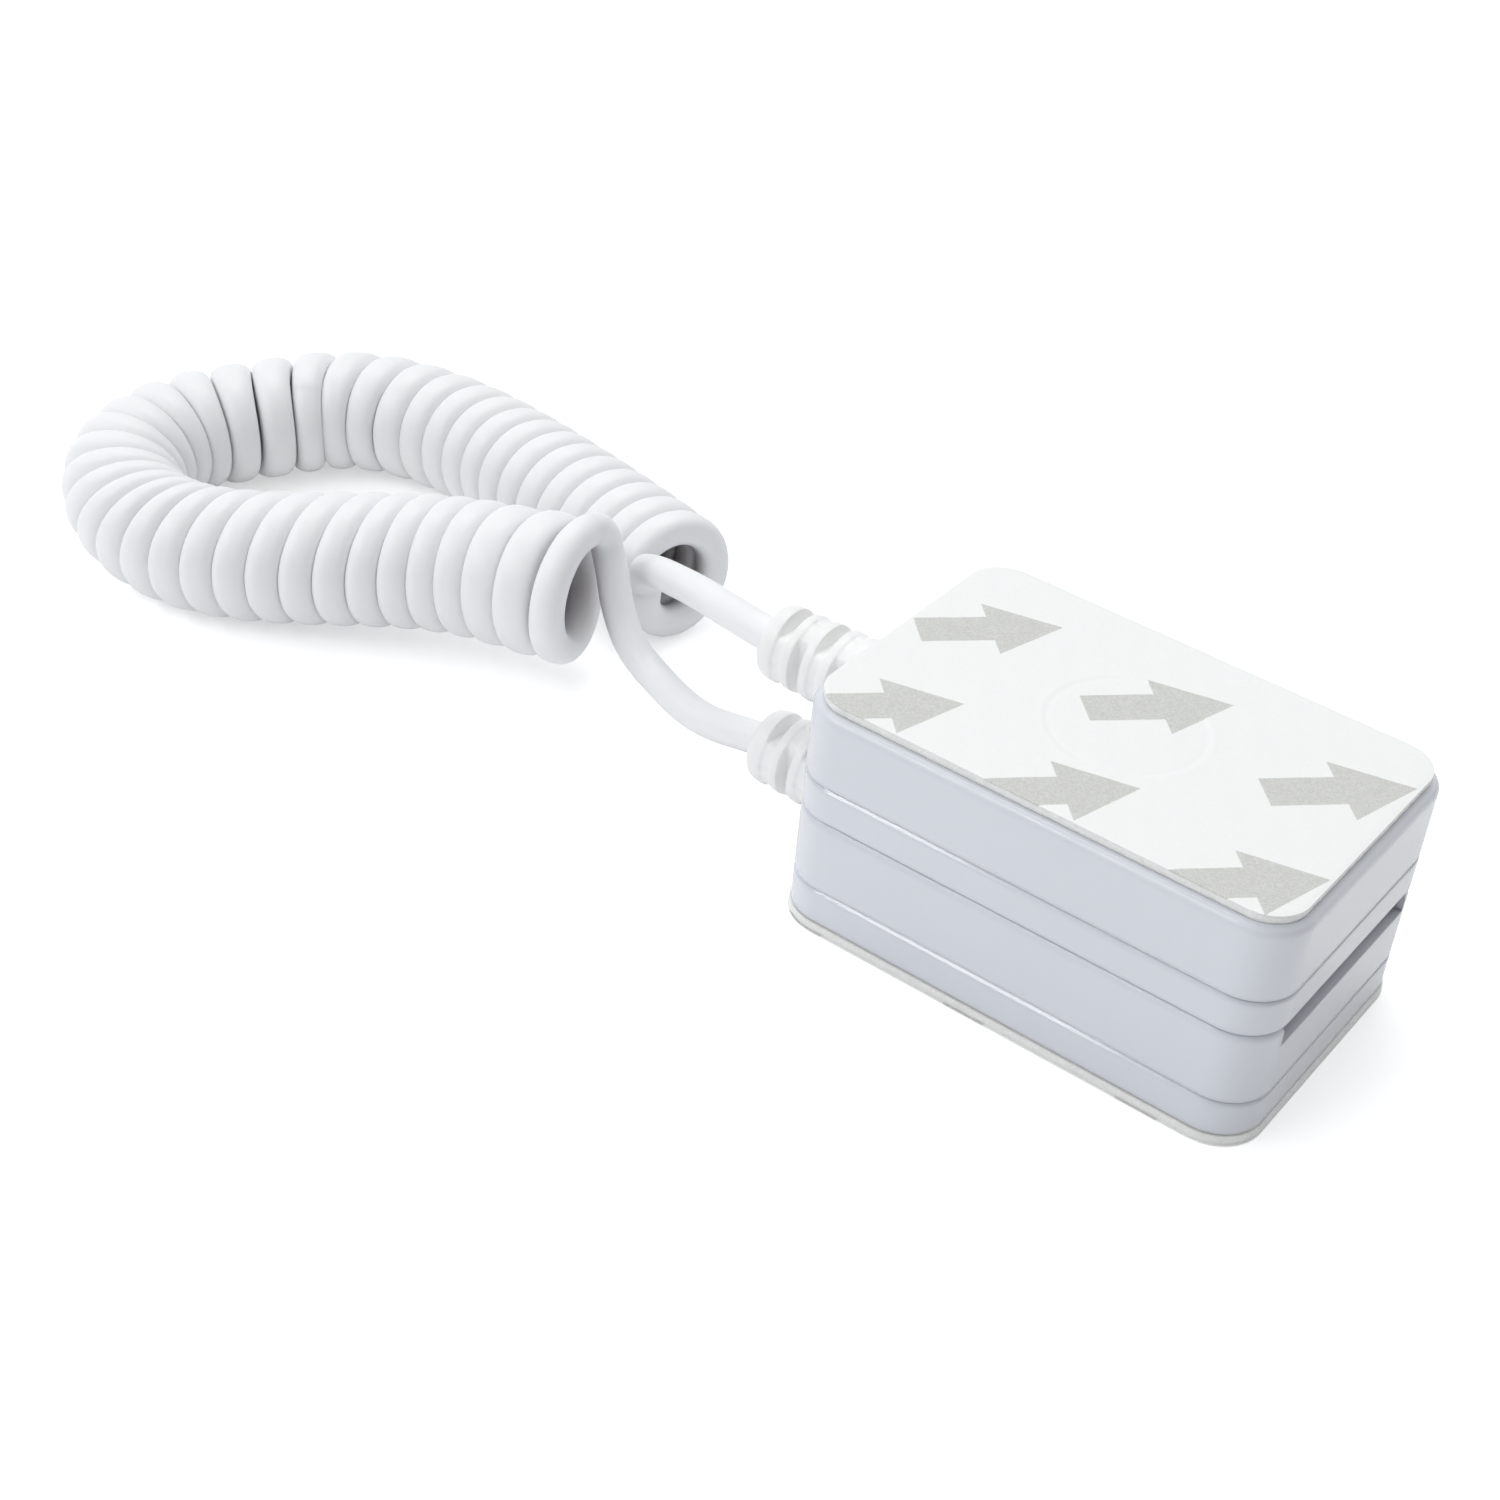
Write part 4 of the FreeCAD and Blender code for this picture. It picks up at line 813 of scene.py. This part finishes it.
# =============================================================== strain-relief boots
BOOT_SIDES = 144
BOOT_BORE_RADIUS = CORD_RADIUS + 0.02
BOOT_TIP_ROUND = 1.0
BOOT_BODY_STEP = 0.062
BLOCK_FACE_X = -BLOCK_LENGTH / 2
BOOT_FLANGE_X = BLOCK_FACE_X + WALL + 0.85
SLOT_COUNT, SLOT_PITCH, SLOT_FIRST = 4, 1.95, 2.45    # SLOT_FIRST is measured from the tip
SLOT_SOFT = 0.16                          # half-width of the blend at a slot's walls
SLOT_LIP = 0.3                            # rounding where a slot meets the outside
SWELL_HEIGHT = 0.035                      # faint swelling between the slots
SEAM_HEIGHT, SEAM_WIDTH = 0.050, 0.13     # parting line
SEAM_DROP, SEAM_WAVE, SEAM_WAVE_RATE = 0.36, 0.10, 1.9


def cone_radius(x):
    """Outside radius of the boot's body without its slots."""
    return (BOOT_TIP_RADIUS + (BOOT_BASE_RADIUS - BOOT_TIP_RADIUS)
            * (x - BOOT_TIP_X) / (BLOCK_FACE_X - BOOT_TIP_X))


def boot_profile():
    """Closed x, radius outline of the boot, and the range of rows of its conical body."""
    tip, face, flange = BOOT_TIP_X, BLOCK_FACE_X, BOOT_FLANGE_X
    bore, neck, rim = BOOT_BORE_RADIUS, BOOT_NECK_RADIUS, BOOT_FLANGE_RADIUS
    flange_end = flange + BOOT_FLANGE_THICK
    rounding = BOOT_TIP_ROUND
    rows = [(tip + 0.18, bore), (tip + 0.05, bore + 0.10), (tip, bore + 0.28),
            (tip, BOOT_TIP_RADIUS - 1.02)]
    for a in np.radians(np.linspace(8, 82, 9)):
        rows.append((tip + rounding - rounding * math.cos(a),
                     BOOT_TIP_RADIUS - rounding + rounding * math.sin(a)))
    body_start = len(rows)
    rows += [(x, cone_radius(x)) for x in np.arange(tip + 1.0, face - 0.33, BOOT_BODY_STEP)]
    body_end = len(rows)
    for a in np.radians(np.linspace(15, 90, 5)):
        rows.append((face - 0.30 + 0.25 * math.sin(a),
                     BOOT_BASE_RADIUS - 0.27 + 0.25 * math.cos(a)))
    rows += [(face - 0.05, neck + 0.5), (face - 0.05, neck), (face + 0.8, neck),
             (flange, neck), (flange, rim - 0.1), (flange + 0.08, rim),
             (flange_end - 0.08, rim), (flange_end, rim - 0.1), (flange_end, bore)]
    rows += [(x, bore) for x in np.arange(flange_end - 0.5, tip + 0.5, -0.5)]
    return np.array(rows), body_start, body_end


def body_ring(x, radius, angle):
    """Radii of one ring of the body with slots, swelling and parting lines."""
    ring = np.full(BOOT_SIDES, radius)
    for k in range(SLOT_COUNT):
        slot_x = BOOT_TIP_X + SLOT_FIRST + SLOT_PITCH * k
        edge = BOOT_SLOT_WIDTH / 2 + SLOT_SOFT - abs(x - slot_x)
        strength = float(smoothstep(edge / (2 * SLOT_SOFT)))
        if strength <= 0:
            continue
        floor_height = cone_radius(slot_x) - BOOT_SLOT_DEPTH
        # flat-bottomed slots: above and below, then on both sides, in turn
        for centre in ((np.pi / 2, 1.5 * np.pi) if k % 2 == 0 else (np.pi, 0.0)):
            cosine = np.cos(angle - centre)
            cut = np.where(cosine > 0.05, radius - floor_height / np.maximum(cosine, 0.05),
                           0.0)
            lip = np.where(cut > -SLOT_LIP, (cut + SLOT_LIP) ** 2 / (4 * SLOT_LIP), 0.0)
            cut = np.where(cut > SLOT_LIP, cut, lip)
            ring -= strength * np.clip(cut, 0.0, BOOT_SLOT_DEPTH)
    ring += SWELL_HEIGHT * np.sin((x - BOOT_TIP_X - 1.0) * 2 * np.pi / SLOT_PITCH)
    # wavy parting line on both sides, a little below the middle
    wave = SEAM_WAVE * math.sin((x - BOOT_TIP_X) * SEAM_WAVE_RATE)
    for centre in (np.pi + SEAM_DROP + wave, -SEAM_DROP - wave):
        offset = (angle - centre + np.pi) % (2 * np.pi) - np.pi
        ring += SEAM_HEIGHT * np.exp(-(offset * radius / SEAM_WIDTH) ** 2)
    return ring


def boot_piece(name, z, node, bodies, block_first):
    profile, body_start, body_end = boot_profile()
    angle = 2 * np.pi * np.arange(BOOT_SIDES) / BOOT_SIDES    # 0 is +Y, a quarter turn is +Z
    rows = len(profile)
    x = np.repeat(profile[:, :1], BOOT_SIDES, 1)
    radii = np.repeat(profile[:, 1:], BOOT_SIDES, 1)
    for i in range(body_start, body_end):
        radii[i] = body_ring(*profile[i], angle)
    verts = np.stack([x, radii * np.cos(angle) + CORD_Y, radii * np.sin(angle) + z],
                     -1).reshape(-1, 3)
    faces = grid_quads(rows, BOOT_SIDES, closed=True)
    # wind the faces outward, judged by one of the body
    probe = faces[(body_start + 20) * BOOT_SIDES]
    outward = verts[probe[0]] * (0, 1, 1) - (0, CORD_Y, z)
    if facing(verts, *probe[:3]) @ outward < 0:
        faces = faces[:, ::-1]
    obj = add_mesh(name, verts, faces, BOOT_MATERIAL, sharp_angle=50)
    weights = boot_weight(verts[:, 0])
    blend_bodies(obj, bodies, weights if block_first else 1.0 - weights)
    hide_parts(node)


boot_piece("boot_lower", Z_CORD_LOWER, "lower_strain_relief",
           ("lower_block", "lower_cord"), block_first=True)
boot_piece("boot_upper", Z_CORD_UPPER, "upper_strain_relief",
           ("upper_cord", "upper_block"), block_first=False)


# =============================================================== foam pads
FOAM_STEP = 0.16                          # spacing of points round the edge
FOAM_ROWS = 7
FOAM_RAGGED = 0.045
FOAM_EDGE_ROUND = 0.10                    # how far the top and bottom rows draw in
FOAM_RIM = 1.6                            # ring between the edge and the flat middle


def ring_noise(count, seed, passes):
    """Random values round a ring, smoothed and scaled to -1..1."""
    values = np.random.RandomState(seed).uniform(-1, 1, count)
    for _ in range(passes):
        values = (np.roll(values, 1) + 2 * values + np.roll(values, -1)) / 4
    return values / max(1e-9, np.abs(values).max())


def outline_points(half_length, half_width, radius, step):
    """Points and outward directions round a rounded rectangle, from its +X -Y corner."""
    points, outward = [], []
    cx, cy = half_length - radius, half_width - radius
    corners = [(cx, -cy, -90), (cx, cy, 0), (-cx, cy, 90), (-cx, -cy, 180)]

    def direction(degrees):
        return np.array((math.cos(math.radians(degrees)), math.sin(math.radians(degrees))))

    for k, (x, y, start_angle) in enumerate(corners):
        count = max(6, int(round(radius * math.pi / 2 / step)))
        for i in range(count):
            way = direction(start_angle + 90 * i / count)
            points.append((x, y) + radius * way)
            outward.append(way)
        way = direction(start_angle + 90)
        start = (x, y) + radius * way
        next_x, next_y, next_angle = corners[(k + 1) % 4]
        end = (next_x, next_y) + radius * direction(next_angle)
        count = max(2, int(round(np.linalg.norm(end - start) / step)))
        for i in range(count):
            points.append(start + (end - start) * i / count)
            outward.append(way)
    return np.array(points), np.array(outward)


def foam_piece(name, node, body, z_low, outline, seed):
    edge, outward = outline_points(*outline, FOAM_STEP)
    n = len(edge)
    z_high = z_low + PAD_THICK

    def ring(offset, z):
        return np.c_[edge + outward * np.reshape(offset, (-1, 1)), np.full(n, z)]

    verts = []
    for k in range(FOAM_ROWS):
        t = k / (FOAM_ROWS - 1)
        rough = 0.55 * ring_noise(n, seed, 3) + 0.45 * ring_noise(n, seed + 7 + k, 1)
        offset = (rough - 1) * FOAM_RAGGED - FOAM_EDGE_ROUND * abs(2 * t - 1) ** 3
        verts.append(ring(offset, z_low + (z_high - z_low) * t))
    verts += [ring(-FOAM_RIM, z_low), ring(-FOAM_RIM, z_high)]
    faces = [tuple(f) for f in grid_quads(FOAM_ROWS, n)]
    top, low_rim, high_rim = (FOAM_ROWS - 1) * n, FOAM_ROWS * n, (FOAM_ROWS + 1) * n
    for i in range(n):
        j = (i + 1) % n
        faces.append((low_rim + i, low_rim + j, j, i))
        faces.append((top + i, top + j, high_rim + j, high_rim + i))
    faces.append(tuple(low_rim + i for i in range(n))[::-1])
    faces.append(tuple(high_rim + i for i in range(n)))
    obj = add_mesh(name, np.concatenate(verts), faces, FOAM_MATERIAL, sharp_angle=40)
    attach(obj, body)
    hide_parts(node)


foam_piece("foam_upper", "upper_foam_pad", "upper_block", Z_TOP, TOP_OUTLINE, seed=11)
foam_piece("foam_lower", "lower_foam_pad", "lower_block", LINER_THICK, BOTTOM_OUTLINE,
           seed=23)

# =============================================================== release liners
LINER_ROWS, LINER_COLUMNS = 150, 210
LINER_ROW_CROWDING = 0.12                 # draws the rows together near the two long edges
LINER_BEND_LENGTH = 11.0                  # from the -X edge; the blend of bodies ends here
EDGE_ROLL, EDGE_ROLL_WIDTH = 0.030, 0.5
MAX_RISE_UPPER, MAX_RISE_LOWER = 0.03, 0.02


def dimple_relief(radius):
    """Raised ring round a groove round a slightly sunk disc, in the middle of the liner."""
    ring = 0.030 * np.exp(-((radius - DIMPLE_RADIUS - 0.5) / 0.22) ** 2)
    groove = 0.05 * np.exp(-((radius - DIMPLE_RADIUS) / 0.3) ** 2)
    disc = 0.018 * smoothstep((6.3 - radius) / 0.5)
    return ring - groove - disc


def liner_piece(name, node, bodies, z_low, outline, upper, phase):
    """Thin sheet on a fine grid whose rows follow the rounded outline."""
    half_length, half_width, radius = outline
    v = np.linspace(-1, 1, LINER_ROWS)
    row_y = v + LINER_ROW_CROWDING * np.sin(np.pi * v) / np.pi
    row_y = row_y / abs(row_y).max() * half_width
    into_corner = np.maximum(abs(row_y) - (half_width - radius), 0.0)
    row_half = (half_length - radius
                + np.sqrt(np.maximum(radius ** 2 - into_corner ** 2, 0.0)))[:, None]
    x = row_half * np.linspace(-1, 1, LINER_COLUMNS)
    y = np.repeat(row_y[:, None], LINER_COLUMNS, 1)

    ripple = (0.010 * np.sin(x * 0.55 + phase) * np.sin(y * 0.8 + 1.3 * phase)
              + 0.006 * np.sin(x * 1.7 + y * 1.1))
    edge = np.minimum(row_half - abs(x), half_width - abs(y))
    roll = EDGE_ROLL * smoothstep(1 - edge / EDGE_ROLL_WIDTH)
    z_high = z_low + LINER_THICK
    bottom, top = np.full_like(x, z_low), np.full_like(x, z_high)
    # only the outer face is uneven
    if upper:
        relief = dimple_relief(np.hypot(x, y)) + ripple
        top += np.minimum(relief - roll, MAX_RISE_UPPER)
    else:
        bottom += np.clip(ripple, 0.0, MAX_RISE_LOWER) + roll

    count = x.size
    verts = np.concatenate([np.stack([x, y, z], -1).reshape(-1, 3) for z in (bottom, top)])
    index = np.arange(count).reshape(x.shape)
    quads = np.stack([index[:-1, :-1], index[:-1, 1:], index[1:, 1:], index[1:, :-1]],
                     -1).reshape(-1, 4)
    rim = np.r_[index[0], index[1:, -1], index[-1, -2::-1], index[-2:0:-1, 0]]
    following = np.roll(rim, -1)
    sides = np.stack([rim, following, following + count, rim + count], -1)
    faces = np.concatenate([quads[:, ::-1], quads + count, sides])
    obj = add_mesh(name, verts, faces, LINER_MATERIAL, uv=verts[:, :2], sharp_angle=35)
    blend_bodies(obj, bodies, smoothstep((verts[:, 0] + half_length) / LINER_BEND_LENGTH))
    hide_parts(node)


liner_piece("liner_upper", "upper_release_liner", ("upper_block", "upper_liner"),
            Z_TOP + PAD_THICK, TOP_OUTLINE, upper=True, phase=0.4)
liner_piece("liner_lower", "lower_release_liner", ("lower_block", "lower_liner"),
            0.0, BOTTOM_OUTLINE, upper=False, phase=2.1)

# =============================================================== carried-over CAD nodes
# material for each node name without its first word
NODE_MATERIALS = {
    "base_plate": SHELL_MATERIAL, "shell": SHELL_MATERIAL, "magnet": NICKEL_MATERIAL,
    "keeper_plate": ZINC_MATERIAL, "crimp_ferrule": ZINC_MATERIAL,
    "clamp_screws": ZINC_MATERIAL, "cord_clamp": NYLON_MATERIAL}
for node, obj in frame["nodes"].items():
    material = NODE_MATERIALS.get(node.split("_", 1)[1])
    if material is None:
        continue
    if not obj.material_slots:
        obj.data.materials.append(material)
    for i in range(len(obj.material_slots)):
        obj.material_slots[i].link = "OBJECT"
        obj.material_slots[i].material = material


# =============================================================== floor, light, camera
def floor_material():
    """Near-white floor that glows for the camera and is clear from below."""
    mat = Material("studio_floor")
    tone = mat.remap(mat.noise(scale=9.0, detail=4.0, roughness=0.6), source=(0.3, 0.7))
    mat.set(color=mat.mix(tone, (0.955, 0.955, 0.955), (0.945, 0.945, 0.947)),
            roughness=0.75, specular=0.2, emission_color=(1.0, 1.0, 1.0))
    camera_glow, other_glow = 0.34, 0.06
    mat.set(emission=mat.math("MULTIPLY_ADD", mat.camera_ray(), camera_glow, other_glow))
    geometry = mat.node("ShaderNodeNewGeometry")
    clear = mat.node("ShaderNodeBsdfTransparent")
    switch = mat.node("ShaderNodeMixShader")
    mat.link(geometry.outputs["Backfacing"], switch.inputs[0])
    mat.link(mat.shader.outputs[0], switch.inputs[1])
    mat.link(clear.outputs[0], switch.inputs[2])
    mat.link(switch.outputs[0], mat.tree.nodes["Material Output"].inputs["Surface"])
    return mat.material


def floor():
    """Disc just under Z = 0."""
    material = floor_material()
    sides, radius, z = 96, 3.0, -0.00003
    angles = [2 * math.pi * i / sides for i in range(sides)]
    verts = [(0, 0, z)] + [(radius * math.cos(a), radius * math.sin(a), z) for a in angles]
    faces = [(0, 1 + i, 1 + (i + 1) % sides) for i in range(sides)]
    mesh = bpy.data.meshes.new("studio_floor")
    mesh.from_pydata(verts, [], faces)
    mesh.materials.append(material)
    obj = bpy.data.objects.new("studio_floor", mesh)
    bpy.context.scene.collection.objects.link(obj)


def world():
    """Pale sky, bluer towards the horizon; the camera itself sees plain white."""
    studio = bpy.data.worlds.new("studio")
    bpy.context.scene.world = studio
    studio.use_nodes = True
    sky = Nodes(studio.node_tree)
    background = sky.tree.nodes["Background"]
    direction = sky.split(sky.coord.outputs["Generated"])
    ramp = sky.node("ShaderNodeValToRGB")
    stops = ramp.color_ramp.elements
    stops[0].position, stops[0].color = 0.0, (0.70, 0.73, 0.80, 1)
    stops[1].position, stops[1].color = 0.75, (1.0, 1.0, 1.0, 1)
    stops.new(0.30).color = (0.82, 0.85, 0.90, 1)
    sky.link(direction[2], ramp.inputs[0])
    camera_ray = sky.camera_ray()
    color = sky.mix(camera_ray, ramp.outputs["Color"], (1.0, 1.0, 1.0, 1.0))
    sky.link(color, background.inputs["Color"])
    # dimmer towards +X, so that the blocks' short end there is in shade
    strength = sky.remap(direction[0], source=(0.05, 0.95), target=(0.78, 0.20))
    sky.link(sky.math("MAXIMUM", strength, camera_ray), background.inputs["Strength"])


def area_light(name, location, target, size, watts):
    light = bpy.data.lights.new(name, "AREA")
    light.shape = "RECTANGLE"
    light.size, light.size_y = size
    light.energy = watts
    obj = bpy.data.objects.new(name, light)
    bpy.context.scene.collection.objects.link(obj)
    aim = Vector(target) - Vector(location)
    obj.location = location
    obj.rotation_euler = aim.to_track_quat("-Z", "Y").to_euler()


def camera():
    data = bpy.data.cameras.new("camera")
    data.sensor_fit = "HORIZONTAL"
    data.sensor_width = 36.0
    data.lens = 60.3413
    data.clip_start, data.clip_end = 0.005, 20.0
    obj = bpy.data.objects.new("camera", data)
    bpy.context.scene.collection.objects.link(obj)
    # columns: camera right, up and backward directions, then its place
    obj.matrix_world = Matrix((
        (0.79495002, -0.40840942, 0.44861588, 0.06722826),
        (0.60150284, 0.43424058, -0.67054414, -0.15433112),
        (0.07904932, 0.80289281, 0.59085899, 0.1380328),
        (0, 0, 0, 1)))
    bpy.context.scene.camera = obj


floor()
world()
area_light("key_top", location=(-0.18, 0.16, 0.52), target=(-0.04, 0.0, 0.0),
           size=(0.34, 0.24), watts=0.86)
area_light("rim_back", location=(0.10, 0.45, 0.22), target=(-0.02, 0.0, 0.01),
           size=(0.50, 0.18), watts=0.16)
area_light("edge_strip", location=(-0.27, -0.36, 0.41), target=(-0.01, 0.0, 0.01),
           size=(0.36, 0.045), watts=0.62)
camera()
bpy.context.scene.view_settings.view_transform = "Standard"
bpy.context.scene.view_settings.look = "None"
